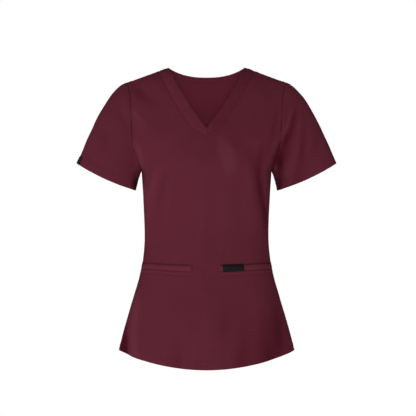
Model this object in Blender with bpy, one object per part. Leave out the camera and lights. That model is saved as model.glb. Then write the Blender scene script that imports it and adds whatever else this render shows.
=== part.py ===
"""A women's V-neck scrub top, filled out as it is worn, with nobody in it.

Metres. +X is the wearer's left, -Y the front and +Z up. The origin is where the wearer's shoulders carry
the top: midway between the two neck points, at their height.

The torso is one smooth form that runs up the front, over the shoulders and down the back. The front, the
back, the neckband and the back neck binding are cut out of it along the seams, the sleeves start from its
armholes, and the pockets and labels lie on its points, moved out or in.
"""

import math

import bpy
import numpy as np

# Cloth
CLOTH = 0.0013  # one layer
DOUBLED = 0.0023  # two layers: the turned hems and the neckband
SEAM_GAP = 0.0003  # between two pieces that are sewn together
HEM_DEPTH = 0.020  # of the turned hem, at the bottom edge and at the cuffs
HEM_STEP = 0.0015  # the stretch in which a hem goes from two layers to one

# Torso
HEM_SIDE_Z = -0.6385  # the bottom edge at the side seams
UNDERARM_Z = -0.232
SIDE_Y = 0.000  # the side seams, front to back
SHOULDER_Y = 0.010  # the shoulder seams, front to back

# Half the width from side seam to side seam, by height
SIDE_SEAM = (
    # z, half_width
    (-0.6385, 0.1980),
    (-0.604, 0.1895),
    (-0.560, 0.1770),
    (-0.514, 0.1635),
    (-0.470, 0.1510),
    (-0.430, 0.1432),
    (-0.385, 0.1396),
    (-0.340, 0.1405),
    (-0.290, 0.1430),
    (-0.232, 0.1464),
)

# The torso's cross rows. A row runs from the middle to the side seam or the armhole as one Bezier curve.
#   row: 0 the front hem, 1 the underarm, 2 the shoulder seam, 3 the underarm again, 4 the back hem
#   z, y: the row's middle
#   bow: its first handle runs straight across, for this share of the half-width
#   run, bite, lift: its last handle lies this far in from the edge, this share of the way from the edge's
#   depth to the middle's, and this far above the edge
TORSO = (
    # row, z, y, bow, run, bite, lift
    (0.00, -0.6690, -0.138, 0.56, 0.000, 0.60, 0.006),
    (0.22, -0.562, -0.125, 0.60, 0.000, 0.60, 0.002),
    (0.48, -0.448, -0.108, 0.60, 0.000, 0.60, 0.000),
    (0.65, -0.373, -0.103, 0.60, 0.000, 0.60, 0.000),
    (0.83, -0.302, -0.116, 0.60, 0.000, 0.60, 0.000),
    (1.00, -0.236, -0.124, 0.60, 0.000, 0.60, 0.000),
    (1.28, -0.155, -0.105, 0.57, 0.012, 0.60, 0.000),
    (1.55, -0.088, -0.073, 0.50, 0.028, 0.58, 0.005),
    (1.80, -0.012, -0.030, 0.42, 0.045, 0.55, 0.014),
    (2.00, 0.015, 0.010, 0.34, 0.060, 0.50, 0.020),
    (2.20, -0.010, 0.052, 0.42, 0.045, 0.55, 0.014),
    (2.45, -0.075, 0.088, 0.50, 0.028, 0.58, 0.005),
    (2.75, -0.155, 0.110, 0.57, 0.012, 0.60, 0.000),
    (3.00, -0.232, 0.109, 0.60, 0.000, 0.60, 0.000),
    (3.17, -0.300, 0.098, 0.60, 0.000, 0.60, 0.000),
    (3.35, -0.372, 0.087, 0.60, 0.000, 0.60, 0.000),
    (3.52, -0.441, 0.095, 0.60, 0.000, 0.60, 0.000),
    (3.78, -0.558, 0.120, 0.60, 0.000, 0.60, 0.002),
    (4.00, -0.6715, 0.134, 0.56, 0.000, 0.60, 0.006),
)
UNDERARM_FRONT, SHOULDER, UNDERARM_BACK, HEM_BACK = 1.0, 2.0, 3.0, 4.0

# Armholes: an egg in side view, narrow end up
ARMHOLE_TOP_Z = -0.033
ARMHOLE_FRONT = 0.044  # how far it reaches forward of the side seam
ARMHOLE_BACK = 0.047
ARMHOLE_EGG = 0.18  # how much wider it is below its middle than above
ARMHOLE_X = (
    # z, x
    (-0.232, 0.1464),
    (-0.205, 0.1560),
    (-0.170, 0.1655),
    (-0.120, 0.1680),
    (-0.070, 0.1710),
    (-0.033, 0.1785),
)

# Neck, in front view
NECK_HALF = 0.085  # from the middle to a neck point
V_Z = -0.1437  # the bottom of the V
V_BELLY = 0.30  # how much the sides of the V bow outwards
BAND_WIDTH = 0.0242
BAND_BLUNT = 0.017  # the band's depth below the bottom of the V, where it is cut off blunt
BAND_CORNER_X = 0.028  # where that blunt end meets the band's straight side
BACK_NECK_Z = -0.0175  # the back neckline in the middle
BACK_NECK_ROUND = 2.4  # the power of the back neckline's curve
BINDING_WIDTH = 0.010

# Sleeves, given for the wearer's left one
CUFF_OUTER = (0.2932, -0.2172)  # x, z of the cuff's outermost point
CUFF_INNER = (0.1593, -0.2785)
CUFF_Y = -0.003
CUFF_HALF_DEPTH = 0.043  # half the cuff's size front to back
CUFF_BOW = 0.0055  # how far the cuff's edge dips below a straight line, at the front and at the back
SLEEVE_LEAVES = ((0.959, -0.282), (0.35, -0.94))  # x, z heading at the armhole: over the shoulder, underarm
SLEEVE_ARRIVES = ((0.422, -0.907), (0.19, -0.98))  # and at the cuff
SLEEVE_SWELL = 0.14  # how much the front and back of the sleeve lean outwards where they leave
SLEEVE_FIRST = (0.235, 0.30)  # handle lengths as shares of the sleeve's reach: over the shoulder, underarm
SLEEVE_LAST = (0.334, 0.33)

# Pockets and labels, in front view
WELT_TOP_Z, WELT_LOW_Z = -0.4414, -0.4572
WELT_THICK = 0.0016
WELT_END_RIGHT = 0.0312  # the wearer's right welt starts this far from the middle
WELT_END_LEFT = 0.0251
BAG_LOW_Z = -0.575  # the bottom of the pocket bags
BAG_THICK = 0.0022  # two layers, lying flat together
LABEL_THICK = 0.0010
POCKET_LABEL = (0.0350, 0.0812)  # its two ends, from the middle
SLEEVE_LABEL_TURN = 0.50  # how far round the cuff the label reaches each way, in radians

# The largest folds: soft troughs along a line in front view. They are the deeper at their second end.
FOLDS = (
    # name, face (-1 front, 1 back), x0, z0, x1, z1, half_width, depth0, depth1
    ("hem flare, left", -1, 0.141, -0.480, 0.160, -0.690, 0.020, 0.000, 0.0095),
    ("hem flare, right", -1, -0.168, -0.540, -0.182, -0.690, 0.018, 0.000, 0.0085),
    ("bust to waist, left", -1, 0.131, -0.345, 0.104, -0.205, 0.018, 0.000, 0.0045),
    ("bust to waist, right", -1, -0.131, -0.345, -0.106, -0.215, 0.018, 0.000, 0.0028),
    ("sleeve, left", -1, 0.206, -0.070, 0.176, -0.190, 0.014, 0.001, 0.0045),
    ("back flare, left", 1, 0.105, -0.470, 0.122, -0.690, 0.024, 0.000, 0.0080),
    ("back flare, right", 1, -0.088, -0.500, -0.098, -0.690, 0.024, 0.000, 0.0070),
    ("small of the back, left", 1, 0.120, -0.330, 0.050, -0.395, 0.020, 0.001, 0.0040),
    ("small of the back, right", 1, -0.118, -0.350, -0.044, -0.405, 0.020, 0.001, 0.0035),
    ("sleeve back, left", 1, 0.200, -0.080, 0.178, -0.195, 0.014, 0.001, 0.0035),
    ("sleeve back, right", 1, -0.200, -0.080, -0.178, -0.195, 0.014, 0.001, 0.0035),
)

# How finely the pieces are made
FRONT_COLUMNS = 18  # from the middle to the side
BACK_COLUMNS = 14
BELOW_WELT, ABOVE_WELT = 7, 9  # rows of the front below and above the pocket welts, to the underarm
BELOW_V, BESIDE_V = 5, 11
BELOW_NAPE, BESIDE_NAPE = 9, 5
BAND_COLUMNS = 3
SLEEVE_ROWS = 9
LEFT_LOWER, RIGHT_LOWER = 0, 2  # which of the front's grids hold its two lower halves
HALVINGS = 40  # enough for a search to end within the length of an atom
SPLIT_ORDER = (0.0, 0.6, 1.0)  # the direction that says which corner of an edge quad is the lower

MAROON = (0.100, 0.018, 0.030)
MAROON_INSIDE = (0.080, 0.013, 0.023)
BLACK = (0.008, 0.008, 0.009)


def column(table, index):
    return np.array([line[index] for line in table])


def eased(table, index, at):
    """A column's value at a place along the table's first column, smooth and without overshoot."""
    xs, ys = column(table, 0), column(table, index)
    step = np.diff(xs)
    slope = np.diff(ys) / step
    tangent = np.concatenate([slope[:1], np.zeros(len(xs) - 2), slope[-1:]])
    same_way = slope[:-1] * slope[1:] > 0
    before, after = slope[:-1][same_way], slope[1:][same_way]
    weight = (2 * step[1:] + step[:-1])[same_way]
    other = (step[1:] + 2 * step[:-1])[same_way]
    tangent[1:-1][same_way] = (weight + other) / (weight / before + other / after)
    at = np.asarray(at, float)
    k = np.clip(np.searchsorted(xs, at) - 1, 0, len(step) - 1)
    t = (at - xs[k]) / step[k]
    rise = ys[k] * (1 + 2 * t) * (1 - t) ** 2 + ys[k + 1] * t * t * (3 - 2 * t)
    lean = tangent[k] * t * (1 - t) ** 2 - tangent[k + 1] * t * t * (1 - t)
    return rise + lean * step[k]


def vectors(x, y, z):
    return np.stack(np.broadcast_arrays(x, y, z), axis=-1).astype(float)


def unit(v):
    return v / np.linalg.norm(v, axis=-1, keepdims=True)


def bezier(a, b, c, d, t):
    t = np.asarray(t, float)[..., None]
    s = 1 - t
    return a * s**3 + 3 * b * s * s * t + 3 * c * s * t * t + d * t**3


def between(low, high, wrong_side):
    """The place between low and high where wrong_side(place) goes from False to True, by halving."""
    low, high = np.broadcast_arrays(np.asarray(low, float), np.asarray(high, float))
    for _ in range(HALVINGS):
        middle = (low + high) / 2
        past = wrong_side(middle)
        low, high = np.where(past, low, middle), np.where(past, middle, high)
    return (low + high) / 2


# ---- the form ----


def armhole(turn):
    """A point of the left armhole: turn 0 on the shoulder, pi under the arm by the front, -pi by the back."""
    low = (1 - np.cos(turn)) / 2
    z = ARMHOLE_TOP_Z + (UNDERARM_Z - ARMHOLE_TOP_Z) * low
    reach = np.where(turn > 0, ARMHOLE_FRONT, ARMHOLE_BACK)
    middle = SHOULDER_Y + (SIDE_Y - SHOULDER_Y) * low
    y = middle - reach * np.sin(turn) * (1 - ARMHOLE_EGG * np.cos(turn))
    return vectors(eased(ARMHOLE_X, 1, z), y, z)


def torso_edge(row):
    """The left end of a torso row: on the side seam below the underarm, on the armhole above it."""
    row = np.asarray(row, float)
    up = np.minimum(row, HEM_BACK - row)
    side_z = HEM_SIDE_Z + (UNDERARM_Z - HEM_SIDE_Z) * np.clip(up, 0, 1)
    side = vectors(eased(SIDE_SEAM, 1, side_z), SIDE_Y, side_z)
    turn = np.pi * np.clip(SHOULDER - row, -1, 1)
    return np.where((up < 1)[..., None], side, armhole(turn))


def torso(across, row):
    """A point of the left half of the torso: across is 0 in the middle and 1 at the row's edge."""
    across, row = np.broadcast_arrays(np.asarray(across, float), np.asarray(row, float))
    z, y, bow, run, bite, lift = (eased(TORSO, k, row) for k in range(1, 7))
    edge = torso_edge(row)
    edge_x, edge_y, edge_z = np.moveaxis(edge, -1, 0)
    first = vectors(bow * edge_x, y, z)
    last = vectors(edge_x - run, edge_y + bite * (y - edge_y), edge_z + lift)
    return bezier(vectors(0, y, z), first, last, edge, across)


def across_at(x, row):
    """How far across a row its point with that x is."""
    return between(0, 1, lambda a: torso(a, row)[..., 0] > x)


def row_of_middle(z, low, high):
    """The row between low and high, the higher one, whose middle is at that height."""
    return between(low, high, lambda r: eased(TORSO, 1, r) > z)


def row_through(x, z, low, high):
    """The row between low and high, the higher one, that passes through x, z in front view."""
    return between(low, high, lambda r: torso(across_at(x, r), r)[..., 2] > z)


def neck_edge_x(z):
    """The front neckline in front view."""
    t = (z - V_Z) / -V_Z
    return NECK_HALF * (t + V_BELLY * t * (1 - t))


def band_seam_x(z):
    """The seam between the neckband and the front, in front view: beside the neckline, and blunt below it."""
    t = np.linspace(0, 1, 25)
    heading = unit(np.stack([NECK_HALF * (1 + V_BELLY * (1 - 2 * t)), np.full_like(t, -V_Z)], axis=-1))
    side_x = neck_edge_x(V_Z * (1 - t)) + BAND_WIDTH * heading[:, 1]
    side_z = V_Z * (1 - t) - BAND_WIDTH * heading[:, 0]
    straight = side_z > V_Z
    top_slope = heading[-1, 0] / heading[-1, 1]
    beyond = BAND_WIDTH  # far enough past the shoulder seam for any row to cross it
    xs = np.concatenate([[0, BAND_CORNER_X], side_x[straight], [side_x[-1] + beyond * top_slope]])
    zs = np.concatenate([[V_Z - BAND_BLUNT, V_Z], side_z[straight], [side_z[-1] + beyond]])
    return np.interp(z, zs, xs)


def cut_across(row, edge_x):
    """How far across a front row a line of the neck crosses it, where edge_x gives the line's x by height."""

    def past(across):
        x, _, z = np.moveaxis(torso(across, row), -1, 0)
        return x > edge_x(z)

    return between(0, 1, past)


def back_neck_z(x, drop, half, top):
    """A line round the back of the neck: drop low in the middle, up to top at half its width."""
    return drop + (top - drop) * (np.abs(x) / half) ** BACK_NECK_ROUND


def sleeve(turn, along):
    """A point of the left sleeve: turn round it as in armhole(), along 0 at the armhole and 1 at the cuff."""
    turn, along = np.broadcast_arrays(np.asarray(turn, float), np.asarray(along, float))
    low = ((1 - np.cos(turn)) / 2)[..., None]
    start = armhole(turn)
    outer, inner = np.array(CUFF_OUTER), np.array(CUFF_INNER)
    x, z = np.moveaxis((outer + inner) / 2 + (outer - inner) / 2 * np.cos(turn)[..., None], -1, 0)
    bow = CUFF_BOW * np.sin(turn) ** 2
    end = vectors(x, CUFF_Y - CUFF_HALF_DEPTH * np.sin(turn), z - bow)
    reach = np.linalg.norm(end - start, axis=-1, keepdims=True)

    def heading(pair, swell):
        (top_x, top_z), (low_x, low_z) = pair
        top, bottom = np.array([top_x, 0, top_z]), np.array([low_x, 0, low_z])
        lean = vectors(0, -swell * np.sin(turn), 0)
        return unit(top * (1 - low) + bottom * low + lean)

    def share(pair):
        return pair[0] * (1 - low) + pair[1] * low

    first = start + heading(SLEEVE_LEAVES, SLEEVE_SWELL) * reach * share(SLEEVE_FIRST)
    last = end - heading(SLEEVE_ARRIVES, 0) * reach * share(SLEEVE_LAST)
    return bezier(start, first, last, end, along)


def along_from_cuff(turn, distance):
    """How far along the sleeve a line at that distance from the cuff runs, at one turn."""
    fine = np.linspace(0, 1, 200)
    points = sleeve(turn, fine)
    steps = np.linalg.norm(np.diff(points, axis=0), axis=-1)
    to_cuff = np.concatenate([np.cumsum(steps[::-1])[::-1], [0]])
    return np.interp(-distance, -to_cuff, fine)


# ---- surfaces: grids of points, joined where they meet ----


def mirrored(grid):
    """The same grid on the other side, still facing the same way."""
    return (grid * (-1, 1, 1))[:, ::-1]


def grid_faces(shape, closed=False):
    rows, columns = shape[:2]
    index = np.arange(rows * columns).reshape(rows, columns)
    if closed:
        index = np.concatenate([index, index[:, :1]], axis=1)
    corners = (index[:-1, :-1], index[:-1, 1:], index[1:, 1:], index[1:, :-1])
    return np.stack(corners, axis=-1).reshape(-1, 4)


def weld(points):
    """For each point, the number of the place that it shares with any others."""
    keys = np.round(points * 1e5).astype(int)
    return np.unique(keys, axis=0, return_inverse=True)[1].reshape(-1)


class Surface:
    """The outer face of one piece of cloth, and how thick the cloth is at each point."""

    def __init__(self, grids, thickness, closed=False):
        points = np.concatenate([g.reshape(-1, 3) for g in grids])
        starts = np.cumsum([0] + [len(g.reshape(-1, 3)) for g in grids])
        faces = np.concatenate([grid_faces(g.shape, closed) + s for g, s in zip(grids, starts)])
        places = weld(points)
        _, first = np.unique(places, return_index=True)
        self.points = points[first]
        self.faces = places[faces]
        self.thickness = np.concatenate([np.ravel(t) for t in thickness])[first]
        self.blocks = [places[s : s + g[..., 0].size].reshape(g.shape[:2]) for g, s in zip(grids, starts)]

        self.on_shoulder_seam = np.abs(self.points[:, 1] - SHOULDER_Y) < 1e-6
        self.on_shoulder_seam &= self.points[:, 2] > ARMHOLE_TOP_Z - 1e-6

    def face_away_from(self, centre):
        """Turns the faces round if they look towards the centre."""
        start = self.points[self.faces[:, 0]]
        if (face_normals(self.points, self.faces) * (start - centre)).sum() < 0:
            self.faces = self.faces[:, ::-1]


def face_normals(points, faces):
    a, b, c, d = (points[faces[:, k]] for k in range(4))
    return np.cross(c - a, d - b)


def set_normals(surfaces):
    """Gives each surface its points' normals. Points that pieces share at a seam get one normal."""
    starts = np.cumsum([0] + [len(s.points) for s in surfaces])
    places = weld(np.concatenate([s.points for s in surfaces]))
    total = np.zeros((places.max() + 1, 3))
    for surface, start in zip(surfaces, starts):
        normals = face_normals(surface.points, surface.faces)
        for k in range(4):
            np.add.at(total, places[start + surface.faces[:, k]], normals)
    for surface, start in zip(surfaces, starts):
        normals = total[places[start : start + len(surface.points)]]
        normals[surface.on_shoulder_seam, 1] = 0  # the cloth is level from front to back there
        surface.normals = unit(normals)


def fold(surfaces):
    """Presses the folds into the surfaces."""
    for surface in surfaces:
        push = np.zeros(len(surface.points))
        x, z = surface.points[:, 0], surface.points[:, 2]
        for _, face, x0, z0, x1, z1, half_width, depth0, depth1 in FOLDS:
            run = np.array([x1 - x0, z1 - z0])
            length = np.linalg.norm(run)
            along = ((x - x0) * run[0] + (z - z0) * run[1]) / length**2
            aside = ((x - x0) * run[1] - (z - z0) * run[0]) / length
            inside = np.clip(along, 0, 1)
            fade = np.clip(1 - (along - inside) * (along - inside) * (length / half_width) ** 2 / 4, 0, 1)
            trough = np.exp(-((aside / half_width) ** 2)) * fade
            turned = np.clip(surface.normals[:, 1] * face * 2, 0, 1)
            push += (depth0 + (depth1 - depth0) * inside) * trough * turned
        surface.points = surface.points - surface.normals * push[:, None]


def boundary(faces):
    """The surface's outline, as pairs of points in the order that their faces go round."""
    sides = np.concatenate([faces[:, [k, (k + 1) % 4]] for k in range(4)])
    keys = {tuple(pair) for pair in sides}
    return np.array([pair for pair in sides if (pair[1], pair[0]) not in keys])


def draw_in(surface, amount):
    """Moves the outline in along the surface by that much, which opens the seam gaps."""
    edges = boundary(surface.faces)
    ways = np.zeros_like(surface.points)
    counts = np.zeros(len(surface.points))
    for a, b in edges:
        run = surface.points[b] - surface.points[a]
        inward = unit(np.cross(surface.normals[a] + surface.normals[b], run))
        ways[[a, b]] += inward
        counts[[a, b]] += 1
    on_edge = counts > 0
    mitre = ways[on_edge]
    mitre = 2 * mitre / (mitre**2).sum(-1, keepdims=True)
    surface.points[on_edge] += mitre * amount


def wall(points, faces, normals, thickness, lift=0.0):
    """A closed wall: its outer face is lift above the points, and its inner face is thickness below that."""
    outer = points + normals * lift
    inner = outer - normals * np.reshape(thickness, (-1, 1))
    count = len(points)
    a, b = boundary(faces).T
    sides = np.stack([b, a, a + count, b + count], axis=-1)
    # Two pieces at a seam split the quads between them the same way, from the lower outer corner
    rank = points @ SPLIT_ORDER
    turn = rank[a] < rank[b]
    sides[turn] = np.roll(sides[turn], -1, axis=1)
    return np.concatenate([outer, inner]), np.concatenate([faces, faces[:, ::-1] + count, sides])


def add_object(name, points, faces, material):
    mesh = bpy.data.meshes.new(name)
    used = np.unique(faces)
    mesh.from_pydata(points[used].tolist(), [], np.searchsorted(used, faces).tolist())
    mesh.shade_smooth()
    mesh.set_sharp_from_angle(angle=math.radians(40))
    mesh.materials.append(material)
    bpy.context.scene.collection.objects.link(bpy.data.objects.new(name, mesh))


def add_patch(name, surface, block, rows, columns, lift, thickness, material):
    """A piece that lies on a surface: the part of one of its grids in those rows and columns, moved out."""
    index = surface.blocks[block][rows, columns]
    faces = index.reshape(-1)[grid_faces(index.shape)]
    if (face_normals(surface.points, faces) * surface.normals[faces[:, 0]]).sum() < 0:
        faces = faces[:, ::-1]
    parts = wall(surface.points, faces, surface.normals, np.full(len(surface.points), thickness), lift)
    add_object(name, *parts, material)


def make_material(name, colour, roughness):
    material = bpy.data.materials.new(name)
    material.use_nodes = True
    shader = material.node_tree.nodes["Principled BSDF"]
    shader.inputs["Base Color"].default_value = (*colour, 1)
    shader.inputs["Roughness"].default_value = roughness
    shader.inputs["Metallic"].default_value = 0
    return material


# ---- the pieces' rows and columns ----


def lower_rows():
    """The front's rows from the hem to the underarm, with rows on the hem's stitches and the welt's edges."""
    per_row = UNDERARM_Z - HEM_SIDE_Z
    hem = HEM_DEPTH / per_row
    welt_low, welt_top = (row_of_middle(z, 0, UNDERARM_FRONT) for z in (WELT_LOW_Z, WELT_TOP_Z))
    below = np.linspace(hem + HEM_STEP / per_row, welt_low, BELOW_WELT)
    above = np.linspace(welt_top, UNDERARM_FRONT, ABOVE_WELT)
    return np.concatenate([[0, hem], below, above])


def front_upper_rows():
    """The front's rows from the underarm to the shoulder seam, with rows at the corners of the neckband."""
    blunt_end = row_of_middle(V_Z - BAND_BLUNT, UNDERARM_FRONT, SHOULDER)
    corner = row_through(BAND_CORNER_X, V_Z, UNDERARM_FRONT, SHOULDER)
    below = np.linspace(UNDERARM_FRONT, blunt_end, BELOW_V)
    beside = np.linspace(corner, SHOULDER, BESIDE_V)
    return below, np.concatenate([[blunt_end], beside])


def binding_seam():
    """The seam of the back neck binding on the left half: its x, and the torso's row there."""
    half = NECK_HALF + BINDING_WIDTH
    shoulder_z = torso(across_at(half, SHOULDER), SHOULDER)[2]
    x = half * np.sin(np.linspace(0, np.pi / 2, BESIDE_NAPE + 1)) ** 0.8
    z = back_neck_z(x[:-1], BACK_NECK_Z - BINDING_WIDTH, half, shoulder_z)
    rows = row_through(x[:-1], z, UNDERARM_BACK, SHOULDER)
    return x, np.append(rows, SHOULDER)


def half_rows(rows, starts, columns):
    """The left half of those torso rows, from where each starts to its edge."""
    across = starts[:, None] + (1 - starts[:, None]) * columns
    return torso(across, rows[:, None])


def plain(grid, thickness=CLOTH):
    return np.full(grid.shape[:2], thickness)


def hem_thickness(grid):
    """Two layers in the first two rows, which are the hem's edge and its stitch line, and then one."""
    thickness = plain(grid)
    thickness[:2] = DOUBLED
    return thickness


def columns_through(marks, count):
    """Shares from 0 to 1 across a row, evenly spread but with one at each mark."""
    stops = [0.0, *marks, 1.0]
    gaps = np.diff(stops)
    shares = np.maximum(1, np.round(gaps * count)).astype(int)
    shares[-1] += count - shares.sum()
    runs = [np.linspace(a, b, n, endpoint=False) for a, b, n in zip(stops, stops[1:], shares)]
    return np.concatenate([*runs, [1.0]]), np.cumsum([0, *shares])


def make_front():
    """The front, the columns of its marks, and its rows from the underarm up and beside the neckband."""
    below_v, beside_v = front_upper_rows()
    whole = np.concatenate([lower_rows(), below_v[1:]])
    welt_row = row_of_middle((WELT_TOP_Z + WELT_LOW_Z) / 2, 0, UNDERARM_FRONT)
    left_marks = across_at(np.array([WELT_END_LEFT, *POCKET_LABEL]), welt_row)
    right_marks = across_at(np.array([WELT_END_RIGHT]), welt_row)
    starts = cut_across(beside_v, band_seam_x)
    starts[0] = 0
    grids, marks = [], []
    for side_marks, side in ((left_marks, 1), (right_marks, -1)):
        columns, stops = columns_through(side_marks, FRONT_COLUMNS)
        for rows, row_starts in ((whole, np.zeros(len(whole))), (beside_v, starts)):
            grid = half_rows(rows, row_starts, columns)
            grids.append(grid if side > 0 else mirrored(grid))
        marks.append(stops if side > 0 else FRONT_COLUMNS - stops[::-1])
    front = Surface(grids, [hem_thickness(grids[0]), plain(grids[1])] * 2)
    return front, marks, np.concatenate([below_v, beside_v[1:]]), beside_v


def make_back():
    """The back, its rows from the underarm up, and the seam of the back neck binding."""
    seam_x, seam_rows = binding_seam()
    below = np.linspace(UNDERARM_BACK, seam_rows[0], BELOW_NAPE)
    whole = np.concatenate([HEM_BACK - lower_rows(), below[1:]])
    columns = np.linspace(0, 1, BACK_COLUMNS + 1)
    starts = across_at(seam_x, seam_rows)
    starts[0] = 0
    grids = []
    for rows, row_starts in ((whole, np.zeros(len(whole))), (seam_rows, starts)):
        grid = half_rows(rows, row_starts, columns)
        grids += [grid, mirrored(grid)]
    thickness = [hem_thickness(grids[0])] * 2 + [plain(grids[2])] * 2
    return Surface(grids, thickness), np.concatenate([below, seam_rows[1:]]), seam_x, seam_rows


def make_neckbands(seam_rows):
    """The left and right halves of the neckband, which meet in a mitre at the V."""
    v_row = row_of_middle(V_Z, UNDERARM_FRONT, SHOULDER)
    share = (seam_rows - seam_rows[0]) / (SHOULDER - seam_rows[0])
    edge_rows = v_row + share * (SHOULDER - v_row)
    seam_x = torso(cut_across(seam_rows, band_seam_x), seam_rows)[:, 0]
    edge_x = torso(cut_across(edge_rows, neck_edge_x), edge_rows)[:, 0]
    seam_x[0] = edge_x[0] = 0
    width = np.linspace(0, 1, BAND_COLUMNS + 1)
    x = edge_x[:, None] + (seam_x - edge_x)[:, None] * width
    rows = edge_rows[:, None] + (seam_rows - edge_rows)[:, None] * width
    grid = torso(across_at(x, rows), rows)
    thickness = [plain(grid, DOUBLED)]
    return Surface([grid], thickness), Surface([mirrored(grid)], thickness)


def make_binding(seam_x, seam_rows):
    """The narrow binding round the back of the neck, from shoulder seam to shoulder seam."""
    edge_x = seam_x * NECK_HALF / (NECK_HALF + BINDING_WIDTH)
    edge_z = back_neck_z(edge_x[:-1], BACK_NECK_Z, NECK_HALF, 0)
    edge_rows = np.append(row_through(edge_x[:-1], edge_z, UNDERARM_BACK, SHOULDER), SHOULDER)
    width = np.linspace(0, 1, 3)
    x = edge_x[:, None] + (seam_x - edge_x)[:, None] * width
    rows = edge_rows[:, None] + (seam_rows - edge_rows)[:, None] * width
    half = torso(across_at(x, rows), rows)
    return Surface([half, mirrored(half)], [plain(half, DOUBLED)] * 2)


def make_sleeves(front_rows, back_rows):
    """Both sleeves, and the turns of their columns, which start where the front's and the back's rows end."""
    rows = np.concatenate([front_rows, back_rows[1:-1][::-1]])
    turns = np.pi * (SHOULDER - rows)
    hem_line = np.array([along_from_cuff(t, HEM_DEPTH) for t in turns])
    step_line = np.array([along_from_cuff(t, HEM_DEPTH + HEM_STEP) for t in turns])
    lines = [step_line * share for share in np.linspace(0, 1, SLEEVE_ROWS)]
    lines += [hem_line, np.ones_like(turns)]
    grid = np.stack([sleeve(turns, line) for line in lines])
    thickness = hem_thickness(grid[::-1])[::-1]
    left, right = (Surface([g], [thickness], closed=True) for g in (grid, grid * (-1, 1, 1)))
    return left, right, turns


def add_pockets(front, marks, twill, pocketing, satin):
    """The welts on the front, the bags behind it, and the label on the wearer's left welt."""
    welt = slice(1 + BELOW_WELT, 3 + BELOW_WELT)
    bag_row = row_of_middle(BAG_LOW_Z, 0, UNDERARM_FRONT)
    bag = slice(int(np.argmin(np.abs(lower_rows() - bag_row))), welt.stop)
    left, right = marks
    outside = SEAM_GAP + WELT_THICK
    behind = -(CLOTH + SEAM_GAP)
    welt_left = slice(left[1], FRONT_COLUMNS + 1)
    welt_right = slice(0, right[1] + 1)
    bag_left = slice(left[1], FRONT_COLUMNS)  # a column short of the side seam
    bag_right = slice(1, right[1] + 1)
    add_patch("pocket_welt_left", front, LEFT_LOWER, welt, welt_left, outside, WELT_THICK, twill)
    add_patch("pocket_welt_right", front, RIGHT_LOWER, welt, welt_right, outside, WELT_THICK, twill)
    add_patch("pocket_bag_left", front, LEFT_LOWER, bag, bag_left, behind, BAG_THICK, pocketing)
    add_patch("pocket_bag_right", front, RIGHT_LOWER, bag, bag_right, behind, BAG_THICK, pocketing)
    label = slice(left[2], left[3] + 1)
    on_welt = outside + SEAM_GAP + LABEL_THICK
    add_patch("pocket_label", front, LEFT_LOWER, welt, label, on_welt, LABEL_THICK, satin)


def add_sleeve_label(sleeve_right, turns, satin):
    """The label on the hem of the wearer's right sleeve, round its outermost line."""
    top = int(np.argmin(np.abs(turns)))
    reach = int(np.sum((turns > 0) & (turns < SLEEVE_LABEL_TURN)))
    rows = slice(SLEEVE_ROWS, SLEEVE_ROWS + 2)
    columns = slice(top - reach, top + reach + 1)
    lift = SEAM_GAP + LABEL_THICK
    add_patch("sleeve_label", sleeve_right, 0, rows, columns, lift, LABEL_THICK, satin)


def main():
    for old in list(bpy.data.objects):
        bpy.data.objects.remove(old)
    twill = make_material("maroon twill", MAROON, 0.75)
    pocketing = make_material("maroon pocketing", MAROON_INSIDE, 0.80)
    satin = make_material("black woven label", BLACK, 0.45)

    front, marks, front_rows, band_rows = make_front()
    back, back_rows, nape_x, nape_rows = make_back()
    band_left, band_right = make_neckbands(band_rows)
    sleeve_left, sleeve_right, turns = make_sleeves(front_rows, back_rows)
    chest = np.array([0, SIDE_Y, UNDERARM_Z])
    arm = np.array([(CUFF_OUTER[0] + CUFF_INNER[0]) / 2, CUFF_Y, UNDERARM_Z])
    pieces = (
        ("front", front, chest),
        ("back", back, chest),
        ("neckband_left", band_left, chest),
        ("neckband_right", band_right, chest),
        ("back_neck_binding", make_binding(nape_x, nape_rows), chest),
        ("sleeve_left", sleeve_left, arm),
        ("sleeve_right", sleeve_right, arm * (-1, 1, 1)),
    )
    surfaces = [surface for _, surface, _ in pieces]
    for _, surface, centre in pieces:
        surface.face_away_from(centre)
    set_normals(surfaces)
    fold(surfaces)
    set_normals(surfaces)
    for name, surface, _ in pieces:
        draw_in(surface, SEAM_GAP / 2)
        solid = wall(surface.points, surface.faces, surface.normals, surface.thickness)
        add_object(name, *solid, twill)
    add_pockets(front, marks, twill, pocketing, satin)
    add_sleeve_label(sleeve_right, turns, satin)


main()
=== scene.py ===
import math
import bpy
import numpy as np
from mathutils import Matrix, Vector


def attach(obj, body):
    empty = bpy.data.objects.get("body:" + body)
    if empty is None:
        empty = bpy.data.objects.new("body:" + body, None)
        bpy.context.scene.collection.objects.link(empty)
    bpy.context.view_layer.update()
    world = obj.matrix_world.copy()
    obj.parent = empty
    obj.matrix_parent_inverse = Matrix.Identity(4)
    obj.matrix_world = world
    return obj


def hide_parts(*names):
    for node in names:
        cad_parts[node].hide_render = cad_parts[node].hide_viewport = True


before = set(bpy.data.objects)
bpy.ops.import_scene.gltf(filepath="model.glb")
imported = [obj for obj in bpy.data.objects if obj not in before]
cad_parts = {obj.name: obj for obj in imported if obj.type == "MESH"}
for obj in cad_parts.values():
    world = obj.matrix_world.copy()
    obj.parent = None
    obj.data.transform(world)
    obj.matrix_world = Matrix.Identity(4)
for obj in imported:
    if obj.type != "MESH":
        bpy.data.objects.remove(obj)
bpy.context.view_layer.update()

print("frame loaded:", len(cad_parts), "nodes")

# Metres throughout. +X is the wearer's left, -Y the front, +Z up. Left and right are the wearer's.

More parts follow.
